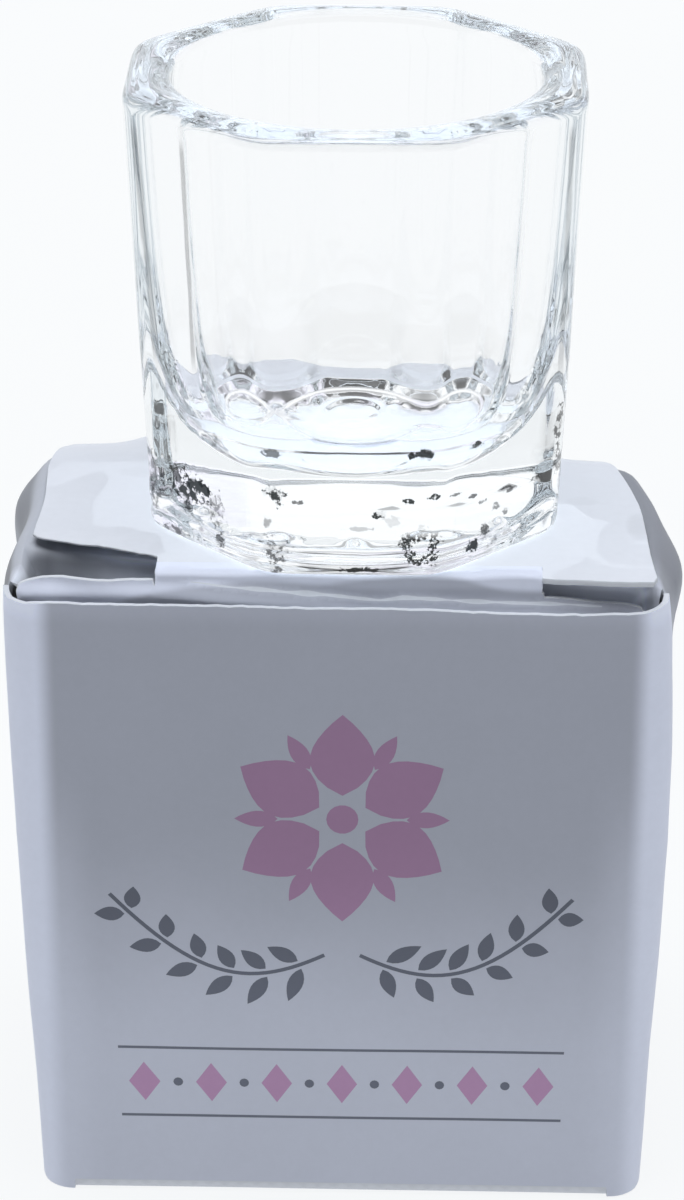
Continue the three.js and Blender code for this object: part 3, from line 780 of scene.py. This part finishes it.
# walls: lean is a painted shade, 20% darker above about 46 mm behind the front corners
m_wall = board_material("coated_board_walls", WALL_SHADE_TINT, **WALLS, lean=(0.0415, 0.0465, 0.80))
m_front = board_material("coated_board_front", WALL_SHADE_TINT, **WALLS, top=(0.0463, 0.0479, 1.0, 1.12))
# left dust flap: tint set to its shaded colour; riser is a painted shade below the crest, top a painted highlight on
# the crest, tucked painted fill light on the turned-down lip under the lid
m_dust_l = board_material("coated_board_left_dust_flap", (0.648, 0.690, 0.785), **WALLS, riser=(0.0455, 0.0475, 1.0, 0.56), top=(0.0483, 0.0492, 1.0, 1.85), tucked=((0.0145, 0.0200, 2.3, 1.0), (0.0203, 0.0213, 1.25, 1.0)))
# right dust flap: tint set to its shaded colour; riser and lean are painted shade on its leaning face, tucked painted
# fill light on the lip under the lid
m_dust_r = board_material("coated_board_right_dust_flap", (0.660, 0.703, 0.812), **WALLS, riser=(0.0455, 0.0475, 1.0, 0.74), tucked=((0.0205, 0.0216, 3.0, 1.0),), lean=(0.0445, 0.0478, 0.74))
# painted shade: the tuck flap is darker (share 0.66) below about 49.1 mm, where it turns down from the lid
m_tuck = board_material("coated_board_tuck_flap", WALL_SHADE_TINT, ramp=(0.0491, 0.0497, 0.66, 1.0))
m_edge = board_material("raw_board_edge", (0.60, 0.63, 0.69), rough=0.85, mottle=2.4)
m_inner = board_material("uncoated_board_back", (0.74, 0.75, 0.77), rough=0.85, mottle=1.8)
# painted highlight along the ridge of the tuck flap's second crease, used as an ink
m_crease_highlight = board_material("rubbed_crease", (0.60, 0.64, 0.71), rough=0.7, mottle=3.0)

m_mauve = board_material("mauve_ink", (0.545, 0.322, 0.548), rough=0.5, mottle=1.2, ramp=WALL_SHADE_RAMP)
m_slate = board_material("slate_ink", (0.158, 0.178, 0.240), rough=0.5, mottle=1.2, ramp=WALL_SHADE_RAMP)
m_film = board_material("dried_seam_glue", (0.80, 0.78, 0.70), rough=0.3, mottle=2.0)
PRINTED = [m_wall, m_edge, m_inner, m_mauve, m_slate]
PLAIN = [m_lid, m_edge, m_inner]


# ------------------------------------------------------------------ carton: a plain floral print
def almond(x, y, length, width, angle, n=11):
    """A pointed leaf or petal that starts at (x, y)."""
    t = np.linspace(0, 1, n)
    w = width / 2 * np.sin(np.pi * t ** 0.85) ** 0.9
    u = np.concatenate([t * length, (t * length)[::-1][1:-1]])
    v = np.concatenate([w, -w[::-1][1:-1]])
    c, s = math.cos(angle), math.sin(angle)
    return [(x + a * c - b * s, y + a * s + b * c) for a, b in zip(u, v)]


def ribbon(points, width):
    """A thin printed line of even width along some points."""
    p = np.array(points, float)
    t = np.gradient(p, axis=0)
    t /= np.linalg.norm(t, axis=1, keepdims=True)
    n = np.stack([-t[:, 1], t[:, 0]], 1) * width / 2
    return [tuple(q) for q in np.concatenate([p + n, (p - n)[::-1]])]


def disc(x, y, r, n=18):
    return [(x + r * math.cos(2 * math.pi * k / n), y + r * math.sin(2 * math.pi * k / n)) for k in range(n)]


def floral_print(off):
    """Mauve blossom over slate leaf sprays, and a border of diamonds between two rules. off: track length at the panel's middle."""
    MAUVE, SLATE = 3, 4
    out = []
    cx, cz = 0.0, 31.5
    for k in range(6):
        out.append((MAUVE, almond(cx + 1.9 * math.cos(math.pi / 2 + k * math.pi / 3), cz + 1.9 * math.sin(math.pi / 2 + k * math.pi / 3), 6.4, 4.6, math.pi / 2 + k * math.pi / 3)))
        a = math.pi / 2 + (k + 0.5) * math.pi / 3
        out.append((MAUVE, almond(cx + 4.6 * math.cos(a), cz + 4.6 * math.sin(a), 3.1, 1.3, a, 9)))
    out.append((MAUVE, disc(cx, cz, 1.15)))
    for side in (-1, 1):
        t = np.linspace(0, 1, 26)
        sx = side * (1.3 + 15.2 * t)
        sz = 20.4 - 2.6 * np.sin(math.pi * t * 0.95) + 5.2 * t ** 2
        line = np.stack([sx, sz], 1)
        out.append((SLATE, ribbon(line, 0.30)))
        g = np.gradient(line, axis=0)
        for j, k in enumerate(range(3, 25, 4)):
            a = math.atan2(g[k][1], g[k][0])
            n = np.array([-math.sin(a), math.cos(a)])
            for up_, ln in ((1, 2.9 - 0.16 * j), (-1, 2.5 - 0.14 * j)):
                q = line[k] + n * up_ * 0.34
                out.append((SLATE, almond(q[0], q[1], ln, 1.15, a + up_ * 0.85 * (1 if math.cos(a) > 0 else 1), 9)))
    for z in (12.4, 6.6):
        out.append((SLATE, [(-16.5, z - 0.11), (16.5, z - 0.11), (16.5, z + 0.11), (-16.5, z + 0.11)]))
    for k in range(-3, 4):
        x = 4.9 * k
        out.append((MAUVE, [(x - 1.15, 9.5), (x, 7.85), (x + 1.15, 9.5), (x, 11.15)]))
        if k < 3:
            out.append((SLATE, disc(x + 2.45, 9.5, 0.36, 12)))
    return [(slot, dense([(x + off, z) for x, z in poly], 0.8)) for slot, poly in out]


# ------------------------------------------------------------------ carton: walls
ARC = math.pi / 2 * CORNER
front = Track(-HW, -14.0, 270, [("L", 0.2), ("A", CORNER, 90), ("L", 41.2), ("A", CORNER, 90), ("L", 0.2)], -1)
MID = 0.2 + ARC + 20.6
L_ = front.length
RAW_EDGE = [(L_, 48.35), (L_ - 1.6, 48.10), (L_ - 3.6, 47.90), (L_ - 6.5, 47.74), (MID + 14, 47.70), (MID + 11, 47.72), (MID + 9, 47.78), (MID + 6, 47.92), (MID + 2.5, 47.98),
            (MID - 2, 47.93), (MID - 6, 48.02), (MID - 9, 48.04), (MID - 13, 48.06), (MID - 17, 48.03), (5.6, 48.12), (3.9, 48.10), (2.8, 48.02), (1.6, 48.05), (0, 48.35)]
outline = [(0, 0.55), (1.6, 0.18), (MID - 20.4, 0.10), (MID - 20.3, 0.9), (MID + 20.3, 0.9), (MID + 20.4, 0.10), (L_ - 1.6, 0.18), (L_, 0.55)] + RAW_EDGE
ss = [v for v in front.knots(0.85, 0.26)]
aa = list(np.arange(0.9, 48.2, 0.85))
ob = sheet("printed_front_panel", front, "xy", outline, 0.5, (ss, aa), seam=lambda s, a: s < 1e-3 or s > L_ - 1e-3 or (a < 0.95 and MID - 20.35 < s < MID + 20.35),
           inks=floral_print(MID), mats=[m_front] + PRINTED[1:], seed=1.0, ragged=lambda s, a: 0.06 if a > 40 else 0.02)
carry(ob, ["front_panel"], "root")

RAW_X = 21.98
back_t = Track(RAW_X, HD, 180, [("L", RAW_X + 20.6), ("A", CORNER, 90), ("L", 0.2)], -1)
Lb = back_t.length
s_of = lambda x: RAW_X - x
outline = [(0, 0.1), (Lb, 0.1), (Lb, 49.0), (Lb - 1.6, 49.2), (s_of(-20.4), 49.3), (s_of(-20.3), 46.5), (s_of(20.3), 46.5), (s_of(20.4), 49.3), (0, 49.3)]
ob = sheet("back_panel_sheet", back_t, "xy", outline, 0.6, (back_t.knots(1.1, 0.3), list(np.arange(1.0, 49, 1.1))),
           seam=lambda s, a: s > Lb - 1e-3 or (a > 46.4 and s_of(20.35) < s < s_of(-20.35)), mats=PRINTED, seed=2.0)
carry(ob, ["back_panel"], "root")

SIDE_TOP, SIDE_FOOT = 45.5, 3.2
left_t = Track(-HW, 14.0, 270, [("L", 28.0)], -1)
ob = sheet("left_side_sheet", left_t, "xy", [(0, SIDE_FOOT), (28.0, SIDE_FOOT), (28.0, SIDE_TOP), (0, SIDE_TOP)], 0.7,
           (left_t.knots(1.0, 0.3), list(np.arange(SIDE_FOOT + 1, SIDE_TOP, 1.0))), seam=lambda s, a: True, mats=PRINTED, seed=3.0)
carry(ob, ["left_side_panel"], "root")

TIGHT = CORNER - BOARD - 0.08
right_t = Track(HW, -14.0, 90, [("L", 28.2), ("A", TIGHT, 90)], -1)
Lr = right_t.length
ob = sheet("right_side_sheet", right_t, "xy", [(0, SIDE_FOOT), (28.0, SIDE_FOOT), (28.15, 0.15), (Lr, 0.15), (Lr, 48.9), (28.15, 48.9), (28.0, SIDE_TOP), (0, SIDE_TOP)], 0.7,
           (right_t.knots(1.0, 0.25), list(np.arange(1, 48.6, 1.0))), seam=lambda s, a: s < 28.05 or s > Lr - 1e-3, mats=PRINTED, seed=4.0)
carry(ob, ["right_side_panel"], "root")

glue_t = Track(HW - TIGHT, HD - BOARD - 0.08, 180, [("L", 10.0)], -1)
ob = sheet("glue_flap_sheet", glue_t, "xy", rounded([(0, 4.2), (10.0, 6.8), (10.0, 43.1), (0, 45.7)], [0, 1.2, 1.2, 0]), 0.7,
           (glue_t.knots(1.0, 0.3), list(np.arange(5, 45, 1.0))), seam=lambda s, a: s < 1e-3, mats=PRINTED, seed=5.0)
carry(ob, ["glue_flap"], "root")

film_t = Track(HW - TIGHT - 0.6, HD - BOARD - 0.005, 180, [("L", 8.4)], -1)
BOARD_KEEP = BOARD
BOARD = 0.07
ob = sheet("seam_glue_film", film_t, "xy", rounded([(0, 6.5), (8.4, 8.0), (8.4, 41.9), (0, 43.4)], [1.5] * 4), 0.7,
           (film_t.knots(1.2, 0.3), list(np.arange(7, 43, 1.2))), mats=[m_film] * 3, ragged=0.25, seed=6.0)
carry(ob, ["side_seam_adhesive"], "root")
BOARD = BOARD_KEEP

# ------------------------------------------------------------------ carton: top closure
XL, XR = -12.75, 13.90                       # ends of the slit locks, at the fold between lid and tuck flap
Y_SEAM = -13.2
lid_t = Track(HD, 46.5, 90, [("L", 0.4), ("A", FOLD_BACK, 90), ("L", HD - FOLD_BACK - Y_SEAM)], -1)
S_LID = lambda y: 0.4 + FOLD_BACK * math.pi / 2 + (HD - FOLD_BACK - y)
torn = [(-20.95, -9.35), (-20.3, -9.75), (-19.2, -10.35), (-17.9, -10.85), (-16.4, -11.35), (-15.1, -11.6), (-14.0, -11.95), (-13.2, -12.0), (XL, -12.2)]
outline = ([(0, -20.3), (0, 20.3), (2.5, 20.35), (4.9, 20.5)] + [(S_LID(y), x) for y, x in ((12.0, 20.5), (8.0, 20.6), (0.0, 20.9), (-8.0, 21.6), (-14.9, 22.1), (-15.65, 21.8), (-15.75, 20.5), (-15.7, 18.0), (-15.35, 14.8), (-15.15, XR), (Y_SEAM, XR))]
           + [(S_LID(Y_SEAM), XL)] + [(S_LID(y), x) for x, y in torn[::-1]]
           + [(S_LID(-8.8), -21.3), (S_LID(-7.5), -21.35), (S_LID(-2.5), -21.5), (S_LID(4.0), -21.9), (S_LID(9.5), -21.7), (S_LID(12.2), -21.2), (4.6, -20.5), (2.5, -20.35)])


def lid_shape(s, a, P, N):
    # the free front corners lift a little, and thin board is never quite flat beyond the foot of the dish
    y = P[:, 1]
    lift = 0.45 * smoothstep(-8.0, -12.5, y) * smoothstep(-12.9, -17.0, a) + 0.10 * smoothstep(-13.0, -15.5, y) * smoothstep(14.5, 18.0, a)
    outside = smoothstep(15.0, 19.0, np.abs(a - 0.5))
    sag = outside * 0.10 * np.array([noise.noise(Vector((p * 0.11, q * 0.11, 4.0))) for p, q in zip(a, y)])
    flat = smoothstep(13.6, 12.0, y)
    P = P.copy()
    P[:, 2] += (lift + sag) * flat
    return P, N


ob = sheet("lid_sheet", lid_t, "yz", outline, 0.42, (lid_t.knots(0.9, 0.35) + list(np.arange(S_LID(-13.6), S_LID(-15.7), 0.5)), list(np.arange(-21.6, 22.2, 0.9))),
           seam=lambda s, a: s < 1e-3 or (abs(s - S_LID(Y_SEAM)) < 1e-3 and XL + 1e-3 < a < XR - 1e-3), shape=lid_shape, mats=PLAIN, seed=7.0,
           thick=lambda s, a: 0.4 - 0.24 * float(smoothstep(S_LID(-5.5), S_LID(-9.0), s) * smoothstep(-11.5, -13.5, a)),
           ragged=lambda s, a: 0.20 if (a < XL + 0.2 and s > S_LID(-9.0)) else (0.05 if s > S_LID(-14) else 0.02))
carry(ob, ["lid_panel"], blend=("root", "lid", (0, 16.6, 46.9), (0, 13.3, 49.9)))

tuck_t = Track(Y_SEAM, TOP, 180, [("L", 1.52), ("A", 0.42, 80), ("L", 0.35), ("A", 2.0, 10), ("L", 10.9)], -1)
S2 = 1.52 + 0.42 * math.radians(80) + 0.35 + 2.0 * math.radians(10)
S_END = tuck_t.length
(py2, pz2), = tuck_t.at([S2])[0]
SH = lambda z: S2 + (pz2 - z)
RIDGE = ([-13.0, -9.5, -7.5, -5.0, -2.7, 0.0, 2.6, 4.1, 6.5, 8.9, 13.4, 16.0, 19.0], [49.40, 49.20, 49.00, 48.80, 48.62, 48.42, 48.24, 48.44, 48.30, 48.16, 48.08, 48.02, 47.85])
outline = ([(0, XL), (0, XR), (SH(48.75), XR), (SH(48.70), XR + 0.14), (SH(48.40), XR + 0.16), (SH(48.36), 15.6), (SH(48.12), 17.6), (SH(48.02), 19.6), (SH(47.80), 20.9), (SH(47.2), 21.3), (SH(45.5), 21.4)]
           + rounded([(S_END - 4.5, 20.8), (S_END, 20.2), (S_END, -20.2), (S_END - 4.5, -20.8)], [0, 5, 5, 0], 8)
           + [(SH(46.0), -21.6), (SH(48.6), -21.95), (SH(49.02), -21.8), (SH(49.22), -21.2), (SH(49.42), -20.2), (SH(49.52), -18.8), (SH(49.44), -17.4), (SH(49.36), -15.6), (SH(49.38), XL - 0.16), (SH(49.05), XL - 0.14), (SH(49.0), XL)])


def tuck_shape(s, a, P, N):
    # outside the slits the flap runs straight up instead of round the fold
    P, N = P.copy(), N.copy()
    sh = ((a < XL - 0.07) | (a > XR + 0.07)) & (s < S2)
    P[sh, 1] = py2
    P[sh, 2] = pz2 + (S2 - s[sh])
    N[sh] = (0, -1, 0)
    z = P[:, 2]
    curl = 0.30 * np.exp(-((a + 16.9) / 1.7) ** 2) - 0.20 * np.exp(-((a + 19.6) / 1.1) ** 2)
    P[:, 1] -= np.where(a < XL - 0.07, smoothstep(47.9, 49.4, z) * curl, 0)
    # the ridge of the second crease, and the flap below it leaning to the front panel
    zr = np.interp(a, *RIDGE)
    P[:, 1] -= 0.30 * smoothstep(-11.5, -8.5, a) * smoothstep(zr + 0.15, zr - 0.13, z) * (s > 1.0)
    P[:, 1] -= 0.52 * smoothstep(zr - 0.05, zr - 1.1, z) * (s > 1.0)
    band = (a > XL - 0.07) & (a < XR + 0.07)
    d = smoothstep(0.9, 1.7, s) * smoothstep(S2 + 1.5, S2 - 0.2, s)
    wav = np.array([noise.noise(Vector((q * 0.22, r * 0.7, 8.0))) for q, r in zip(a, s)])
    P[:, 2] += np.where(band, d * 0.16 * wav, 0)
    P[:, 1] += np.where(band, d * 0.16 * wav, 0)
    return P, N


# a ragged painted highlight strip along the crease ridge, laid into the tuck flap as an ink
crease_highlight_line = [(SH(float(np.interp(x, *RIDGE))), x) for x in np.linspace(-10.4, 18.2, 76)]
wide = [0.02 + 0.12 * (0.5 + noise.noise(Vector((x * 0.6, 3.0, 1.0)))) * min(1.0, (x + 10.6) / 5.0, (18.6 - x) / 4.0) for _, x in crease_highlight_line]
crease_highlight_strip = [(u - w, x) for (u, x), w in zip(crease_highlight_line, wide)] + [(u + w, x) for (u, x), w in list(zip(crease_highlight_line, wide))[::-1]]
ob = sheet("tuck_flap_sheet", tuck_t, "yz", outline, 0.34, (sorted(set(tuck_t.knots(0.6, 0.1) + [round(v, 3) for v in np.arange(S2 - 1.0, S2 + 1.9, 0.11)])), list(np.arange(-21.5, 21.4, 0.6))),
           seam=lambda s, a: s < 1e-3 and XL + 1e-3 < a < XR - 1e-3, inks=[(3, dense(crease_highlight_strip, 0.5))], shape=tuck_shape,
           mats=[m_tuck, m_edge, m_inner, m_crease_highlight], seed=8.0, ragged=0.04)
carry(ob, ["lid_tuck_flap"], blend=("lid", "lid_tuck", (0, -14.3, 49.9), (0, -15.8, 48.3)))

for side, name in ((-1, "left"), (1, "right")):
    # from the side wall over a crest and in under the lid; the front margin is turned down
    if side < 0:
        t = Track(-HW, SIDE_TOP, 90, [("A", 12.0, -14), ("L", 0.35), ("A", 0.8, -76), ("L", 14.2)], 1)
    else:
        t = Track(HW, SIDE_TOP, 90, [("A", 12.0, 14), ("L", 0.35), ("A", 0.8, 76), ("L", 14.2)], -1)
    sc = 12.0 * math.radians(14) + 0.35 + 0.8 * math.radians(76)
    if side < 0:
        front_edge = [(sc - 1.0, -14.0), (sc - 0.55, -14.6), (sc - 0.1, -15.05), (sc + 0.5, -15.2), (sc + 0.9, -14.8), (sc + 1.15, -13.9), (sc + 1.5, -13.3), (sc + 2.0, -13.0), (sc + 11.6, -13.0)]
        lip = lambda x: np.interp(x, [-21.4, -19.2, -16.4, -12.7], [-9.2, -9.8, -10.4, -10.8])
    else:
        front_edge = [(sc - 1.0, -14.0), (sc - 0.55, -14.6), (sc - 0.1, -15.05), (sc + 0.7, -15.25), (sc + 1.6, -15.2), (sc + 2.4, -14.7), (sc + 3.2, -14.45), (sc + 11.6, -14.4)]
        lip = lambda x: np.interp(x, [12.0, 22.0], [-13.2, -13.2])
    outline = [(0, -14.0)] + front_edge + [(sc + 13.2, -9.2), (sc + 13.2, 4.4), (sc + 1.4, 13.6), (sc - 0.4, 14.0), (0, 14.0)]

    def dust_shape(s, a, P, N, sc=sc, lip=lip, side=side):
        P, N = P.copy(), N.copy()
        lip0 = lip(P[:, 0])
        lip1 = lip0 - 1.1
        P[:, 2] -= 0.24 * smoothstep(sc - 0.2, sc + 1.3, s) + 0.25 * smoothstep(sc + 2.0, sc + 14.0, s)
        deep = 2.7 * smoothstep(sc + 0.15, sc + (1.5 if side < 0 else 2.2), s)
        k = np.clip((a - lip0) / (lip1 - lip0), 0, 1)
        P[:, 2] -= deep * smoothstep(0.0, 1.0, k)
        lean = deep * 6 * k * (1 - k) / 1.1
        flat = np.abs(N[:, 2]) > 0.9
        nrm = np.sqrt(1 + lean ** 2)
        N[flat, 1] = (-lean / nrm)[flat]
        N[flat, 2] = (1 / nrm)[flat]
        P[:, 2] -= 0.5 * smoothstep(-13.2, -15.2, a) * smoothstep(sc - 2.0, sc - 0.6, s)
        if side > 0:
            P[:, 2] -= 2.0 * smoothstep(-14.3, -15.1, a) * smoothstep(sc - 1.7, sc - 0.8, s)
        return P, N

    across = sorted(set([round(v, 3) for v in np.arange(-9.4, 14.0, 0.8)] + [round(v, 3) for v in (np.arange(-13.1, -9.5, 0.15) if side < 0 else np.arange(-15.2, -12.9, 0.13))]))
    ob = sheet(f"top_{name}_dust_sheet", t, "xz", outline, 0.42, (t.knots(0.8, 0.16), across),
               seam=lambda s, a: s < 1e-3 or (s < 2.3 and abs(a) > 13.9), shape=dust_shape, mats=[m_dust_l if side < 0 else m_dust_r, m_edge, m_inner], seed=9.0 + side)
    carry(ob, [f"top_{name}_dust_flap"], blend=("root", f"top_{name}_dust", (side * 22.9, 0, 48.0), (side * 20.9, 0, 49.4)))

# ------------------------------------------------------------------ carton: bottom closure, hinged at the front
Y_BASE = 13.2
base_t = Track(-HD, 0.9, 270, [("L", 0.18), ("A", 0.7, 90), ("L", HD - 0.7 + Y_BASE)], -1)
S_BASE = lambda y: 0.18 + 0.7 * math.pi / 2 + (y + HD - 0.7)
outline = [(0, -20.3), (1.4, -20.45), (3.4, -21.4), (S_BASE(14.2), -21.5), (S_BASE(14.3), XL), (S_BASE(Y_BASE), XL), (S_BASE(Y_BASE), XR), (S_BASE(14.3), XR), (S_BASE(14.2), 21.9), (3.4, 21.8), (1.4, 20.45), (0, 20.3)]
ob = sheet("bottom_sheet", base_t, "yz", outline, 0.6, (base_t.knots(1.2, 0.25), list(np.arange(-21, 21.5, 1.2))),
           seam=lambda s, a: s < 1e-3 or (abs(s - S_BASE(Y_BASE)) < 1e-3 and XL + 1e-3 < a < XR - 1e-3), mats=PLAIN, seed=12.0)
carry(ob, ["bottom_panel"], blend=("root", "base", (0, -16.6, 1.0), (0, -15.4, 0.0)))

btuck_t = Track(Y_BASE, 0.02, 0, [("L", 0.02), ("A", 1.55, 90), ("L", 10.0)], -1)
SB2, SB_END = 0.02 + 1.55 * math.pi / 2, btuck_t.length
(by2, bz2), = btuck_t.at([SB2])[0]
outline = ([(0, XL), (0, XR), (SB2, XR), (SB2, XR + 0.14), (SB2 - 1.0, XR + 0.16), (SB2 - 1.0, 20.6)]
           + rounded([(SB_END - 4.5, 20.8), (SB_END, 20.2), (SB_END, -20.2), (SB_END - 4.5, -20.8)], [0, 5, 5, 0], 8)
           + [(SB2 - 1.0, -20.6), (SB2 - 1.0, XL - 0.16), (SB2, XL - 0.14), (SB2, XL)])


def btuck_shape(s, a, P, N):
    P, N = P.copy(), N.copy()
    sh = ((a < XL - 0.07) | (a > XR + 0.07)) & (s < SB2)
    P[sh, 1], P[sh, 2] = by2, bz2 - (SB2 - s[sh])
    N[sh] = (0, 1, 0)
    return P, N


ob = sheet("bottom_tuck_sheet", btuck_t, "yz", outline, 0.45, (btuck_t.knots(0.9, 0.25), list(np.arange(-20.4, 20.6, 0.9))),
           seam=lambda s, a: s < 1e-3 and XL + 1e-3 < a < XR - 1e-3, shape=btuck_shape, mats=PLAIN, seed=13.0)
carry(ob, ["bottom_tuck_flap"], blend=("base", "base_tuck", (0, 13.3, 0.0), (0, 14.8, 1.7)))

for side, name in ((-1, "left"), (1, "right")):
    if side < 0:
        t = Track(-HW, SIDE_FOOT, 270, [("A", 12.0, 10), ("L", 0.35), ("A", 0.8, 80), ("L", 14.2)], -1)
    else:
        t = Track(HW, SIDE_FOOT, 270, [("A", 12.0, -10), ("L", 0.35), ("A", 0.8, -80), ("L", 14.2)], 1)
    sc = 12.0 * math.radians(10) + 0.35 + 0.8 * math.radians(80)
    low = t.at([sc + 1.0])[0][0, 1]
    outline = [(0, -14.0), (sc - 0.4, -14.0), (sc + 1.4, -13.6), (sc + 13.2, -4.4), (sc + 13.2, 9.2), (sc + 11.6, 10.6), (sc + 2.6, 10.7), (sc + 1.2, 13.7), (sc, 14.0), (0, 14.0)]

    def bdust_shape(s, a, P, N, sc=sc, low=low):
        P = P.copy()
        P[:, 2] += (0.06 - low) * smoothstep(sc - 2.5, sc - 0.4, s)
        P[:, 2] += 0.44 * smoothstep(sc - 0.2, sc + 1.2, s) + 0.3 * smoothstep(sc + 2.0, sc + 14.0, s)
        return P, N

    ob = sheet(f"bottom_{name}_dust_sheet", t, "xz", outline, 0.6, (t.knots(1.1, 0.2), list(np.arange(-13.4, 14.0, 1.1))),
               seam=lambda s, a: s < 1e-3 or (s < 2.0 and abs(a) > 13.9), shape=bdust_shape, mats=PLAIN, seed=15.0 + side)
    carry(ob, [f"bottom_{name}_dust_flap"], blend=("root", f"bottom_{name}_dust", (side * 22.9, 0, 1.6), (side * 20.9, 0, 0.4)))
